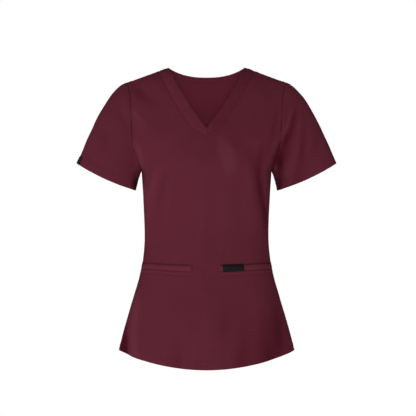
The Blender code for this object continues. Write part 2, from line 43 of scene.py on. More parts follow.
form = {  # the garment's form, the same as the solids'
    "hemSideZ": -0.6385,
    "underarmZ": -0.232,
    "sideY": 0.000,  # of the side seams
    "shoulderY": 0.010,
    "sideSeam": (  # z, half the width
        (-0.6385, 0.1980),
        (-0.604, 0.1895),
        (-0.560, 0.1770),
        (-0.514, 0.1635),
        (-0.470, 0.1510),
        (-0.430, 0.1432),
        (-0.385, 0.1396),
        (-0.340, 0.1405),
        (-0.290, 0.1430),
        (-0.232, 0.1464),
    ),
    "rows": (  # row, z and y of its middle, bow of its first handle, run, bite and lift of its last one
        (0.00, -0.6690, -0.138, 0.56, 0.000, 0.60, 0.006),
        (0.22, -0.562, -0.125, 0.60, 0.000, 0.60, 0.002),
        (0.48, -0.448, -0.108, 0.60, 0.000, 0.60, 0.000),
        (0.65, -0.373, -0.103, 0.60, 0.000, 0.60, 0.000),
        (0.83, -0.302, -0.116, 0.60, 0.000, 0.60, 0.000),
        (1.00, -0.236, -0.124, 0.60, 0.000, 0.60, 0.000),
        (1.28, -0.155, -0.105, 0.57, 0.012, 0.60, 0.000),
        (1.55, -0.088, -0.073, 0.50, 0.028, 0.58, 0.005),
        (1.80, -0.012, -0.030, 0.42, 0.045, 0.55, 0.014),
        (2.00, 0.015, 0.010, 0.34, 0.060, 0.50, 0.020),
        (2.20, -0.010, 0.052, 0.42, 0.045, 0.55, 0.014),
        (2.45, -0.075, 0.088, 0.50, 0.028, 0.58, 0.005),
        (2.75, -0.155, 0.110, 0.57, 0.012, 0.60, 0.000),
        (3.00, -0.232, 0.109, 0.60, 0.000, 0.60, 0.000),
        (3.17, -0.300, 0.098, 0.60, 0.000, 0.60, 0.000),
        (3.35, -0.372, 0.087, 0.60, 0.000, 0.60, 0.000),
        (3.52, -0.441, 0.095, 0.60, 0.000, 0.60, 0.000),
        (3.78, -0.558, 0.120, 0.60, 0.000, 0.60, 0.002),
        (4.00, -0.6715, 0.134, 0.56, 0.000, 0.60, 0.006),
    ),
    "armholeTopZ": -0.033,
    "armholeFront": 0.044,  # how far the armhole reaches forwards, and back
    "armholeBack": 0.047,
    "armholeEgg": 0.18,  # wider below than above
    "armholeX": (  # z, x
        (-0.232, 0.1464),
        (-0.205, 0.1560),
        (-0.170, 0.1655),
        (-0.120, 0.1680),
        (-0.070, 0.1710),
        (-0.033, 0.1785),
    ),
}
underarmFront, shoulder, underarmBack, hemBack = 1.0, 2.0, 3.0, 4.0  # rows of that table


def eased(table, index, at):  # a column's value along the table's first column, smooth and without overshoot
    xs = np.array([line[0] for line in table])
    ys = np.array([line[index] for line in table])
    step = np.diff(xs)
    slope = np.diff(ys) / step
    tangent = np.concatenate([slope[:1], np.zeros(len(xs) - 2), slope[-1:]])
    sameWay = slope[:-1] * slope[1:] > 0
    before, after = slope[:-1][sameWay], slope[1:][sameWay]
    weight = (2 * step[1:] + step[:-1])[sameWay]
    other = (step[1:] + 2 * step[:-1])[sameWay]
    tangent[1:-1][sameWay] = (weight + other) / (weight / before + other / after)
    at = np.asarray(at, float)
    k = np.clip(np.searchsorted(xs, at) - 1, 0, len(step) - 1)
    t = (at - xs[k]) / step[k]
    rise = ys[k] * (1 + 2 * t) * (1 - t) ** 2 + ys[k + 1] * t * t * (3 - 2 * t)
    lean = tangent[k] * t * (1 - t) ** 2 - tangent[k + 1] * t * t * (1 - t)
    return rise + lean * step[k]


def vectors(x, y, z):
    return np.stack(np.broadcast_arrays(x, y, z), axis=-1).astype(float)


def unit(v):
    return v / np.maximum(np.linalg.norm(v, axis=-1, keepdims=True), 1e-12)


def bezier(a, b, c, d, t):
    t = np.asarray(t, float)[..., None]
    s = 1 - t
    return a * s**3 + 3 * b * s * s * t + 3 * c * s * t * t + d * t**3


def bell(at):  # 1 at 0, falling to both sides
    return np.exp(-(at**2))


def mixed(a, b, share):
    return a + (b - a) * share


def smooth(low, high, at):
    t = np.clip((np.asarray(at, float) - low) / (high - low), 0, 1)
    return t * t * (3 - 2 * t)


def between(low, high, wrongSide):  # where wrongSide goes from False to True, by halving
    low, high = np.broadcast_arrays(np.asarray(low, float), np.asarray(high, float))
    for _ in range(40):
        middle = (low + high) / 2
        past = wrongSide(middle)
        low, high = np.where(past, low, middle), np.where(past, middle, high)
    return (low + high) / 2


def armhole(turn):  # turn 0 on the shoulder, pi under the arm by the front, -pi by the back
    low = (1 - np.cos(turn)) / 2
    z = mixed(form["armholeTopZ"], form["underarmZ"], low)
    reach = np.where(turn > 0, form["armholeFront"], form["armholeBack"])
    middle = mixed(form["shoulderY"], form["sideY"], low)
    y = middle - reach * np.sin(turn) * (1 - form["armholeEgg"] * np.cos(turn))
    return vectors(eased(form["armholeX"], 1, z), y, z)


def torsoEdge(row):
    row = np.asarray(row, float)
    up = np.minimum(row, hemBack - row)
    sideZ = mixed(form["hemSideZ"], form["underarmZ"], np.clip(up, 0, 1))
    side = vectors(eased(form["sideSeam"], 1, sideZ), form["sideY"], sideZ)
    turn = np.pi * np.clip(shoulder - row, -1, 1)
    return np.where((up < 1)[..., None], side, armhole(turn))


def torso(across, row):  # the left half: across is 0 in the middle and 1 at the row's edge
    across, row = np.broadcast_arrays(np.asarray(across, float), np.asarray(row, float))
    z, y, bow, run, bite, lift = (eased(form["rows"], k, row) for k in range(1, 7))
    edge = torsoEdge(row)
    edgeX, edgeY, edgeZ = np.moveaxis(edge, -1, 0)
    first = vectors(bow * edgeX, y, z)
    last = vectors(edgeX - run, edgeY + bite * (y - edgeY), edgeZ + lift)
    return bezier(vectors(0, y, z), first, last, edge, across)


def acrossAt(x, row):
    return between(0, 1, lambda a: torso(a, row)[..., 0] > x)


def rowOfMiddle(z, low, high):
    return between(low, high, lambda r: eased(form["rows"], 1, r) > z)


def rowThrough(x, z, low, high):
    return between(low, high, lambda r: torso(acrossAt(x, r), r)[..., 2] > z)


neck = {
    "half": 0.085,  # from the middle to a neck point
    "vZ": -0.1437,  # the V's lowest point
    "belly": 0.30,  # how far its edges bow outwards
    "bandWidth": 0.0242,
    "bandBlunt": 0.017,  # from the V to the band's blunt lower end
    "bandCornerX": 0.028,
    "backZ": -0.0175,
    "backRound": 2.4,
    "bindingWidth": 0.010,
    "bindingSpread": 0.8,  # its columns lie closer at the shoulder than in the middle
}


def neckEdgeX(z):
    t = (z - neck["vZ"]) / -neck["vZ"]
    return neck["half"] * (t + neck["belly"] * t * (1 - t))


def bandSeamX(z):
    t = np.linspace(0, 1, 25)
    vZ, width = neck["vZ"], neck["bandWidth"]
    heading = unit(np.stack([neck["half"] * (1 + neck["belly"] * (1 - 2 * t)), np.full_like(t, -vZ)], axis=-1))
    sideX = neckEdgeX(vZ * (1 - t)) + width * heading[:, 1]
    sideZ = vZ * (1 - t) - width * heading[:, 0]
    straight = sideZ > vZ
    topSlope = heading[-1, 0] / heading[-1, 1]
    xs = np.concatenate([[0, neck["bandCornerX"]], sideX[straight], [sideX[-1] + width * topSlope]])
    zs = np.concatenate([[vZ - neck["bandBlunt"], vZ], sideZ[straight], [sideZ[-1] + width]])
    return np.interp(z, zs, xs)


def cutAcross(row, edgeX):
    def past(across):
        x, _, z = np.moveaxis(torso(across, row), -1, 0)
        return x > edgeX(z)

    return between(0, 1, past)


def backNeckZ(x, drop, half, top):
    return mixed(drop, top, (np.abs(x) / half) ** neck["backRound"])


sleeveForm = {
    "cuffOuter": (0.2932, -0.2172),  # x, z
    "cuffInner": (0.1593, -0.2785),
    "cuffY": -0.003,
    "cuffHalfDepth": 0.043,
    "cuffBow": 0.0055,
    "leaves": ((0.959, -0.282), (0.35, -0.94)),  # headings over the shoulder, and under the arm
    "arrives": ((0.422, -0.907), (0.19, -0.98)),
    "swell": 0.14,
    "first": (0.235, 0.30),  # lengths of the handles, as shares of the sleeve's
    "last": (0.334, 0.33),
    "uvRadius": 0.065,
    "centre": (0.226, 0, -0.232),
}


def sleeveAt(turn, along):
    turn, along = np.broadcast_arrays(np.asarray(turn, float), np.asarray(along, float))
    low = ((1 - np.cos(turn)) / 2)[..., None]
    start = armhole(turn)
    outer, inner = np.array(sleeveForm["cuffOuter"]), np.array(sleeveForm["cuffInner"])
    x, z = np.moveaxis((outer + inner) / 2 + (outer - inner) / 2 * np.cos(turn)[..., None], -1, 0)
    bow = sleeveForm["cuffBow"] * np.sin(turn) ** 2
    end = vectors(x, sleeveForm["cuffY"] - sleeveForm["cuffHalfDepth"] * np.sin(turn), z - bow)
    reach = np.linalg.norm(end - start, axis=-1, keepdims=True)

    def heading(pair, swell):
        (topX, topZ), (lowX, lowZ) = pair
        lean = vectors(0, -swell * np.sin(turn), 0)
        return unit(np.array([topX, 0, topZ]) * (1 - low) + np.array([lowX, 0, lowZ]) * low + lean)

    def share(pair):
        return pair[0] * (1 - low) + pair[1] * low

    first = start + heading(sleeveForm["leaves"], sleeveForm["swell"]) * reach * share(sleeveForm["first"])
    last = end - heading(sleeveForm["arrives"], 0) * reach * share(sleeveForm["last"])
    return bezier(start, first, last, end, along)


def alongFromCuff(turn, distances):
    fine = np.linspace(0, 1, mesh["sleeveSamples"])
    steps = np.linalg.norm(np.diff(sleeveAt(turn, fine), axis=0), axis=-1)
    toCuff = np.concatenate([np.cumsum(steps[::-1])[::-1], [0]])
    return np.interp(-np.asarray(distances), -toCuff, fine)


mesh = {
    "step": 0.0030,  # between rows and columns
    "fine": (0.0004, 0.0010, 0.0019, 0.0032),  # extra rows and columns beside an edge
    "fineAtWelt": (
        0.0004, 0.0010, 0.0018, 0.0028, 0.0042, 0.0058,
        0.0072, 0.0082, 0.0090, 0.0098, 0.0107, 0.0119,
    ),
    "hemStep": 0.0025,
    "weltStep": 0.0018,  # of the front behind a welt
    "weltPieceStep": 0.0013,
    "bluntStep": 0.0024,  # beside the neckband's blunt end
    "bandStep": 0.0022,
    "bindingStep": 0.0018,
    "napeColumns": 34,
    "sleeveRows": 46,
    "sleeveSamples": 300,  # points that lengths are measured through
    "ringSamples": 200,
    "rowSamples": 41,
    "middleSamples": 801,
    "halfWidth": 0.165,  # of the body, from which the columns are counted
    "armLength": 0.235,  # of the body between two whole rows of its form, beside an armhole
    "weld": 1e5,  # points are joined where they are the same to this many steps a metre
}
wall = {
    "thick": 0.0010,
    "innerRelief": 0.6,  # how much of the outer face's relief shows inside
    # the inner face gets this share of the painted shade, turned the other way into painted light
    "innerPaintedShade": 0.3,
    "innerSeam": 0.0014,  # the seams' painted shade is softer inside
    "sharpFrom": 70,  # degrees
}


def stops(length, low=True, high=True, step=None, fine=None):  # shares of a length, closer beside its ends
    step = step or mesh["step"]
    fine = fine or mesh["fine"]
    lows = [0.0, *fine] if low else [0.0]
    highs = [length - d for d in fine[::-1]] + [length] if high else [length]
    gap = highs[0] - lows[-1]
    count = max(2, int(round(gap / step)))
    middle = np.linspace(lows[-1], highs[0], count + 1)
    return np.concatenate([lows[:-1], middle, highs[1:]]) / length


def lengthsAlong(grid, axis):  # distance run along the grid's rows or columns
    steps = np.linalg.norm(np.diff(grid, axis=axis), axis=-1)
    return np.concatenate([np.zeros_like(np.take(steps, [0], axis)), np.cumsum(steps, axis=axis)], axis=axis)


def toEnd(lengths, axis):  # distance to the far end of each row or column
    return np.take(lengths, [-1], axis) - lengths


def fromMiddle(lengths, side):  # distances from the row's end at the garment's middle, and from its other end
    return (lengths, toEnd(lengths, 1)) if side > 0 else (toEnd(lengths, 1), lengths)


def lengthUv(grid):
    return np.stack([lengthsAlong(grid, 1), lengthsAlong(grid, 0)], axis=-1)


def edgeGap(grid):  # distance to the grid's nearest edge
    u, v = lengthsAlong(grid, 1), lengthsAlong(grid, 0)
    return np.minimum(np.minimum(u, toEnd(u, 1)), np.minimum(v, toEnd(v, 0)))


def gridFaces(shape, closed=False):
    rows, columns = shape[:2]
    index = np.arange(rows * columns).reshape(rows, columns)
    if closed:
        index = np.concatenate([index, index[:, :1]], axis=1)
    corners = (index[:-1, :-1], index[:-1, 1:], index[1:, 1:], index[1:, :-1])
    return np.stack(corners, axis=-1).reshape(-1, 4)


def weld(points):
    keys = np.round(points * mesh["weld"]).astype(np.int64)
    return np.unique(keys, axis=0, return_inverse=True)[1].reshape(-1)


def cornerNormals(points, faces):
    a, b, c, d = (points[faces[:, k]] for k in range(4))
    return np.cross(c - a, d - b)


class Cloth:  # the outer face of one piece: its grids joined where they meet
    def __init__(self, name, grids, uvs, centre, closed=False):
        self.name = name
        points = np.concatenate([g.reshape(-1, 3) for g in grids])
        starts = np.cumsum([0] + [g[..., 0].size for g in grids])
        faces = np.concatenate([gridFaces(g.shape, closed) + s for g, s in zip(grids, starts)])
        places = weld(points)
        _, firstOnes = np.unique(places, return_index=True)
        self.points = points[firstOnes]
        self.uv = np.concatenate([u.reshape(-1, 2) for u in uvs])[firstOnes]
        self.faces = places[faces]
        self.blocks = [places[s : s + g[..., 0].size].reshape(g.shape[:2]) for g, s in zip(grids, starts)]
        count = len(self.points)
        self.seam = np.full(count, 1.0)  # distance to the nearest seam
        self.free = np.full(count, 1.0)  # distance to the nearest folded edge
        self.rise = np.zeros(count)  # of the outer face
        self.trough = np.zeros(count)  # painted shade, most in creases; below 0 it is a painted highlight, as on a ridge
        self.thick = np.full(count, wall["thick"])
        self.pale = np.zeros(count)  # painted light: how much paler the inner face is
        start = self.points[self.faces[:, 0]]
        if (cornerNormals(self.points, self.faces) * (start - centre)).sum() < 0:
            self.faces = self.faces[:, ::-1]

    def near(self, field, block, distance):  # keeps the smaller of the distances at each point
        cells = self.blocks[block]
        np.minimum.at(getattr(self, field), cells.ravel(), np.broadcast_to(distance, cells.shape).ravel())

    def grid(self, block, values=None):
        return (self.points if values is None else values)[self.blocks[block]]

    def lift(self, block, rise):  # adds to the relief; a point that lies there twice gets half of it
        cells = self.blocks[block].ravel()
        rise = np.broadcast_to(rise, self.blocks[block].shape).ravel()
        self.rise[cells] += rise / np.bincount(cells, minlength=len(self.points))[cells]


def setNormals(cloths):
    starts = np.cumsum([0] + [len(c.points) for c in cloths])
    places = weld(np.concatenate([c.points for c in cloths]))
    total = np.zeros((places.max() + 1, 3))
    for cloth, start in zip(cloths, starts):
        normals = cornerNormals(cloth.points, cloth.faces)
        for k in range(4):
            np.add.at(total, places[start + cloth.faces[:, k]], normals)
    for cloth, start in zip(cloths, starts):
        cloth.normals = unit(total[places[start : start + len(cloth.points)]])


def mirrored(grid):
    return (grid * (-1, 1, 1))[:, ::-1]


def mirroredUv(uv):
    return (uv * (-1, 1))[:, ::-1]


folds = (  # the largest ones, in millimetres: face, x and z of its ends, half width, depth at each end
    (-1, 139, -480, 158, -690, 27, 0, 4.8),
    (-1, -168, -540, -182, -690, 18, 0, 8.5),
    (-1, 133, -345, 112, -205, 18, 0, 3.4),
    (-1, -131, -345, -106, -215, 18, 0, 2.8),
    (-1, 206, -70, 176, -190, 14, 1, 4.5),
    (1, 105, -470, 122, -690, 24, 0, 8),
    (1, -88, -500, -98, -690, 24, 0, 7),
    (1, 120, -330, 50, -395, 20, 1, 4),
    (1, -118, -350, -44, -405, 20, 1, 3.5),
    (1, 200, -80, 178, -195, 14, 1, 3.5),
    (1, -200, -80, -178, -195, 14, 1, 3.5),
)

creases = (
    # finer ones, in millimetres: face, skew, how much painted shade it lays into the colour (painted highlight
    # on a ridge), then the points along it, each with its x, z, depth and half width; a ridge's depth is below
    # 0; some are mostly painted shade, with little depth
    # front of the left sleeve
    (-1, 0.25, 1.1, (206, -76, 0, 5), (196.5, -109, 2.1, 6), (188, -138, 2.4, 7.5), (175, -166, 3.6, 9),
        (164, -190, 3.5, 11), (158, -215, 2.6, 12)),
    (-1, 0, 1, (183.5, -68, 0, 4), (178, -100, 1.6, 4.5), (172.5, -132, 1.4, 5), (170, -150, 0, 5)),
    (-1, 0, 1, (198, -74, 0, 6), (189, -102, -1.3, 6.5), (180, -132, -1.3, 6.5), (172, -158, 0, 6)),
    (-1, 0.15, 0.8, (220, -92, 0, 6), (218.5, -120, 1.4, 6.5), (216.5, -155, 1.6, 7), (212.5, -184, 1, 8),
        (208, -218, 0, 9)),
    (-1, 0, 0.4, (211, -100, 0, 7), (204, -145, -1.1, 9), (198, -190, -0.8, 10), (192, -232, 0, 10)),
    (-1, 0, 3.4, (232, -120, 0, 16), (222, -165, 0.4, 24), (206, -215, 0.7, 30), (196, -260, 0.7, 30)),
    (-1, 0, 1, (252, -120, 0, 9), (250, -165, 1.6, 11), (243, -215, 0, 12)),
    (-1, 0, 0.9, (166, -186, 0, 10), (160, -215, 4, 12), (157, -245, 5, 12), (155, -290, 4.2, 11)),
    # front of the right sleeve
    (-1, 0.1, 0.8, (-202, -86, 0, 7), (-188, -111, 1.1, 9), (-178, -136, 1.2, 9.5), (-178, -170, 0, 9)),
    (-1, 0, 1, (-189, -80, 0, 7), (-178, -105, -1.1, 8), (-170, -130, 0, 7)),
    (-1, 0, 2, (-166, -155, 0, 10), (-153, -192, -2.2, 11), (-148, -222, -2.8, 10), (-147, -246, 0, 8)),
    (-1, 0, 1, (-232, -120, 0, 10), (-228, -165, 1.4, 12), (-222, -210, 0, 12)),
    (-1, 0, 1.4, (-161, -236, 0, 6), (-158, -250, 1.8, 7), (-156, -266, 3.8, 8), (-154, -290, 4.4, 8)),
    # from the left armhole and bust down to the waist
    (-1, 0, 0.5, (82, -178, 0, 11), (92, -225, -1.6, 12), (101, -280, -1.6, 12), (109, -335, -1, 11),
        (114, -380, 0, 11)),
    (-1, -0.25, 1, (128, -188, 0, 9), (119, -222, 1.3, 9.5), (115.5, -245, 1.2, 9.5), (121.5, -278, 1.9, 9.5),
        (130, -311, 2.2, 7.8), (135.5, -344, 2.1, 7), (137, -385, 0, 7)),
    (-1, 0, 3, (120, -190, 0, 14), (122, -250, 0.6, 20), (128, -340, 0.5, 20), (134, -400, 0.2, 16),
        (140, -440, 0, 14)),
    (-1, 0, 3, (-68, -195, 0, 18), (-70, -250, 0.3, 24), (-75, -330, 0.4, 27), (-83, -410, 0.3, 26),
        (-90, -470, 0, 20)),
    (-1, 0, 3, (132, -146, 0, 10), (128.5, -172, 0.6, 14), (125.5, -196, 0.7, 13), (122, -224, 0, 10)),
    (-1, 0.2, 1, (162, -82, 0, 7), (155, -120, 1.3, 8), (147, -165, 1.8, 9), (138, -212, 1.3, 10),
        (130, -244, 0, 10)),
    # from the right armhole down to the waist
    (-1, 0, 1, (-100, -212, 0, 9), (-111, -245, -2.4, 9), (-125, -300, -2.4, 9), (-132, -365, -1.2, 9),
        (-136, -410, 0, 9)),
    (-1, 0, 0.8, (-86, -210, 0, 10), (-98, -255, 1.3, 12), (-108, -320, 1.3, 13), (-114, -420, 0, 13)),
    (-1, 0, 0.8, (-182, -36, 0, 12), (-156, -54, 2.8, 16), (-134, -74, 2.6, 17), (-86, -106, 0, 16)),
    (-1, 0, 1, (-168, -86, 0, 7), (-156, -108, -2.2, 8), (-138, -132, -1.4, 9), (-118, -150, 0, 9)),
    # bust and belly
    (-1, 0, 1.8, (28, -150, 0, 16), (46, -203, -3, 19), (60, -255, 0, 18)),
    (-1, 0, 0.9, (6, -225, 0, 12), (12, -300, 1.2, 13), (10, -380, 0.8, 14), (6, -440, 0, 14)),
    (-1, 0, 0.3, (-12, -230, 0, 12), (-10, -310, -1.2, 13), (-12, -390, -0.7, 14), (-16, -440, 0, 14)),
    (-1, 0, 0.9, (-34, -240, 0, 14), (-32, -320, 0.8, 15), (-38, -400, 0.5, 15), (-42, -440, 0, 15)),
    (-1, 0, 0.2, (40, -250, 0, 13), (44, -330, -0.6, 14), (44, -420, 0, 14)),
    (-1, 0, 0.9, (68, -255, 0, 13), (75, -330, 1.3, 14), (80, -425, 0, 14)),
    # skirt
    (-1, 0, 0.3, (104, -478, 0, 10), (109, -530, -1.4, 12), (114, -590, -1.8, 14), (119, -690, -2, 16)),
    (-1, 0.2, 0.4, (134, -486, 0, 10), (147, -550, 1.4, 17), (157, -610, 1.2, 21), (165, -690, 0.8, 23)),
    (-1, 0.2, 2.6, (112, -465, 0, 18), (125, -540, 0.6, 30), (133, -600, 1, 37), (138, -690, 0.9, 42)),
    (-1, 0, 3, (50, -480, 0, 24), (70, -560, 0.7, 40), (84, -640, 0.9, 44), (90, -690, 0.9, 44)),
    (-1, 0, 0.7, (83, -560, 0, 11), (79, -605, 1, 14), (71, -645, 1.3, 15), (64, -690, 1.2, 16)),
    (-1, 0, 1, (36, -515, 0, 14), (34, -575, 1.2, 16), (28, -640, 0, 15)),
    (-1, 0, 1, (-56, -560, 0, 14), (-62, -620, 1.6, 15), (-66, -690, 2.4, 15)),
    (-1, 0, 1.5, (-148, -480, 0, 10), (-156, -535, -2.4, 11), (-161, -595, -2.6, 13), (-163, -690, -2, 14)),
    (-1, -0.1, 1.9, (-178, -540, 0, 8), (-182.5, -590, 1.4, 11), (-185.5, -625, 2.4, 16),
        (-188, -690, 2.6, 21)),
    (-1, 0.1, 3, (149, -470, 0, 10), (156.5, -530, 0.5, 13), (166, -600, 0.6, 14), (172, -645, 0, 12)),
    # back
    (1, 0.2, 1, (140, -235, 0, 8), (112, -268, 2.8, 8), (82, -315, 0, 8)),
    (1, -0.2, 1, (-142, -232, 0, 8), (-116, -262, 2.6, 8), (-90, -300, 0, 8)),
    (1, 0.1, 1, (96, -60, 0, 10), (112, -110, 2.2, 10), (128, -170, 2.8, 10), (138, -215, 0, 10)),
    (1, 0.1, 1, (-90, -65, 0, 10), (-110, -120, 2, 10), (-130, -180, 2.6, 10), (-139, -218, 0, 10)),
    (1, 0, 0.5, (134, -352, 0, 9), (96, -384, 2.2, 11), (50, -398, 1, 12), (18, -396, 0, 12)),
    (1, 0.1, 0.5, (-134, -360, 0, 9), (-98, -388, 2.2, 11), (-56, -396, 1, 12), (-26, -390, 0, 12)),
    (1, 0, 0.5, (130, -396, 0, 8), (98, -420, 1.5, 9), (62, -430, 0, 10)),
    (1, 0, 1, (22, -520, 0, 12), (16, -610, 2, 13), (12, -690, 3.4, 14)),
    (1, 0, 1, (60, -500, 0, 12), (66, -590, -2.2, 13), (72, -690, -3, 14)),
    (1, 0, 1, (-50, -500, 0, 12), (-54, -600, -2, 13), (-58, -690, -2.8, 14)),
    (1, 0.3, 1, (206, -85, 0, 6), (190, -135, 3.4, 7), (172, -185, 3.2, 9), (160, -240, 0, 10)),
    (1, 0.3, 1, (-206, -85, 0, 6), (-188, -132, 3.2, 7), (-172, -186, 3.2, 9), (-160, -240, 0, 10)),
    (1, 0.1, 1, (222, -120, 0, 7), (216, -165, 2.2, 8), (204, -215, 0, 9)),
    (1, 0.1, 1, (-224, -115, 0, 7), (-218, -160, 2, 8), (-206, -210, 0, 9)),
)

folding = {
    "full": 0.0045,  # a crease this deep takes all of the painted shade
    "foldShade": 0.35,  # a large fold's painted shade, as a share of a crease's
    "besideTrough": 0.34,  # the bulge beside a trough, as a share of its depth
    "besideRidge": 0.12,
    "bulgeAt": 1.9,  # in half widths, as the next two
    "reach": 4,
    "pastEnds": 2,
    "turning": 2,  # how late a fold fades where the cloth turns sideways
    "pathPoints": 40,
}


def pressFolds(cloth):
    push = np.zeros(len(cloth.points))
    x, z = cloth.points[:, 0], cloth.points[:, 2]
    for face, *line in folds:
        x0, z0, x1, z1, halfWidth, depth0, depth1 = np.array(line) / 1000
        run = np.array([x1 - x0, z1 - z0])
        length = np.linalg.norm(run)
        along = ((x - x0) * run[0] + (z - z0) * run[1]) / length**2
        aside = ((x - x0) * run[1] - (z - z0) * run[0]) / length
        inside = np.clip(along, 0, 1)
        fade = np.clip(1 - ((along - inside) * length / halfWidth / folding["pastEnds"]) ** 2, 0, 1)
        turned = np.clip(cloth.normals[:, 1] * face * folding["turning"], 0, 1)
        push += mixed(depth0, depth1, inside) * bell(aside / halfWidth) * fade * turned
    cloth.points = cloth.points - cloth.normals * push[:, None]
    # painted shade, as deep as the fold
    cloth.trough += push / folding["full"] * folding["foldShade"]


def smoothPath(points):  # a smooth line through points, of any number of columns
    points = np.array(points, float)
    padded = np.concatenate([[2 * points[0] - points[1]], points, [2 * points[-1] - points[-2]]])
    at = np.linspace(0, len(points) - 1, folding["pathPoints"])
    k = np.clip(at.astype(int), 0, len(points) - 2)
    t = (at - k)[:, None]
    a, b, c, d = (padded[k + n] for n in range(4))
    return b + (c - a) * t / 2 + (a - 2.5 * b + 2 * c - d / 2) * t**2 + (1.5 * (b - c) + (d - a) / 2) * t**3


def pressCreases(cloth):
    push = np.zeros(len(cloth.points))
    paintedShades = np.zeros(len(cloth.points))
    flat = cloth.points[:, [0, 2]]
    for face, skew, tone, *corners in creases:
        path = smoothPath(corners) / 1000
        reach = folding["reach"] * path[:, 3].max()
        low, high = path[:, :2].min(0) - reach, path[:, :2].max(0) + reach
        close = ((flat > low) & (flat < high)).all(1) & (cloth.normals[:, 1] * face > 0)
        if not close.any():
            continue
        here = flat[close]
        start, run = path[:-1, :2], np.diff(path[:, :2], axis=0)
        t = np.clip(((here[:, None] - start) * run).sum(-1) / (run**2).sum(-1), 0, 1)
        gap = here[:, None] - (start + run * t[..., None])
        distance = np.linalg.norm(gap, axis=-1)
        best = distance.argmin(1)  # the nearest stretch of the path, for each point
        rows = np.arange(len(here))
        side = np.sign(run[best, 0] * gap[rows, best, 1] - run[best, 1] * gap[rows, best, 0])
        depth, halfWidth = (mixed(path[best, k], path[best + 1, k], t[rows, best]) for k in (2, 3))
        d = distance[rows, best] / (halfWidth * (1 + skew * side))
        beside = np.where(depth > 0, folding["besideTrough"], folding["besideRidge"])
        profile = bell(d) - beside * bell(d - folding["bulgeAt"])
        turned = np.clip(cloth.normals[close, 1] * face * folding["turning"], 0, 1)
        push[close] += depth * profile * turned
        # painted shade in a trough, painted highlight on a ridge
        paintedShades[close] += tone * depth * profile * np.clip(turned * folding["turning"], 0, 1)
    cloth.points = cloth.points - cloth.normals * push[:, None]
    cloth.trough += paintedShades / folding["full"]


slack = {  # the cloth's own slow unevenness
    "seed": 11,
    "waves": ((0.115, 0.0007, 5), (0.052, 0.00038, 7), (0.023, 0.00013, 9)),  # length, height, how many
    "upright": 0.55,  # the waves run down more than across
    "spread": (0.8, 1.25),  # of their lengths
    "atSeams": 0.25,  # how much of it is left at a seam or an edge
    "seamReach": 0.02,
}


def addSlack(cloth):
    rng = np.random.default_rng(slack["seed"])
    push = np.zeros(len(cloth.points))
    for length, height, count in slack["waves"]:
        for _ in range(count):
            heading = unit(rng.normal(size=3) * (1, 1, slack["upright"]))
            phase = rng.uniform(0, 2 * np.pi)
            wave = 2 * np.pi / (length * rng.uniform(*slack["spread"]))
            push += height / math.sqrt(count) * np.sin(cloth.points @ heading * wave + phase)
    free = smooth(0, slack["seamReach"], np.minimum(cloth.seam, cloth.free))
    cloth.points = cloth.points + cloth.normals * (push * mixed(slack["atSeams"], 1, free))[:, None]


def wander(at, seed, pitch):  # an uneven wave along a line
    rng = np.random.default_rng(seed)
    total = np.zeros_like(np.asarray(at, float))
    for scale, weight in ((1.0, 0.55), (1.6, 0.35), (0.62, 0.4), (2.9, 0.2)):
        total += weight * np.sin(2 * np.pi * at / (pitch * scale) + rng.uniform(0, 2 * np.pi))
    return total


sewing = {
    "sink": 0.00055,  # how far a seam's line lies below the cloth
    "sinkWidth": 0.0012,
    "softSink": 0.4,  # a soft seam's, as a share of a crisp one's
    "softWidth": 2.4,
    "softGap": 0.0024,  # its shade is this much weaker
    "bulk": 0.00035,  # the seam allowance under the cloth beside a seam
    "bulkWidth": 0.0075,
    "bulkFrom": 0.0016,
    "bulkEdge": 0.6,  # where it starts to thin out, as a share of its width
    "stitchSink": 0.00022,
    "stitchWidth": 0.0011,
    "oneRow": (0.0018,),  # of stitches, from the seam
    "twoRows": (0.0018, 0.0062),
    "pucker": 0.00042,
    "puckerPitch": 0.0125,
    "puckerReach": 0.0055,
}


def addSeam(cloth, block, distance, along, seed, bulk=True, stitchAt=(), pucker=1.0, crisp=0.85):
    # distance and along are grids: from the seam, and along it
    sinkWidth = sewing["sinkWidth"] * mixed(sewing["softWidth"], 1, crisp)
    sink = sewing["sink"] * mixed(sewing["softSink"], 1, crisp)
    rise = -sink * bell(distance / sinkWidth)
    if bulk:
        thins = smooth(sewing["bulkEdge"], 1.0, distance / sewing["bulkWidth"])
        rise = rise + sewing["bulk"] * (1 - thins) * smooth(0, sewing["bulkFrom"], distance)
    for at in stitchAt:
        rise = rise - sewing["stitchSink"] * bell((distance - at) / sewing["stitchWidth"])
    reach = distance / sewing["puckerReach"]
    swell = reach * np.exp(1 - reach)
    cloth.lift(block, rise + pucker * sewing["pucker"] * wander(along, seed, sewing["puckerPitch"]) * swell)
    cloth.near("seam", block, distance + (1 - crisp) * sewing["softGap"])


hemming = {
    "depth": 0.020,
    "stitch": 0.0183,  # from the folded edge to its row of stitches
    "thick": 0.0021,
    "slope": 0.0015,  # over which the turned-in part ends
    "plain": 0.0008,  # close rows past it
    "roping": 0.00038,  # height of its ripples
    "ropingPitch": 0.016,
    "twist": 0.9,  # the hem twists a little, so its ripples lie aslant
    "ropingFrom": 0.004,
    "ropingTo": (0.6, 1.25),  # shares of the depth
    "stitchSink": 0.00030,
    "stitchWidth": 0.0012,
    "bulk": 0.00025,
    "bulkTo": (0.8, 1.0),  # shares of the depth
}
hemRows = hemming["depth"] + hemming["slope"] + hemming["plain"]


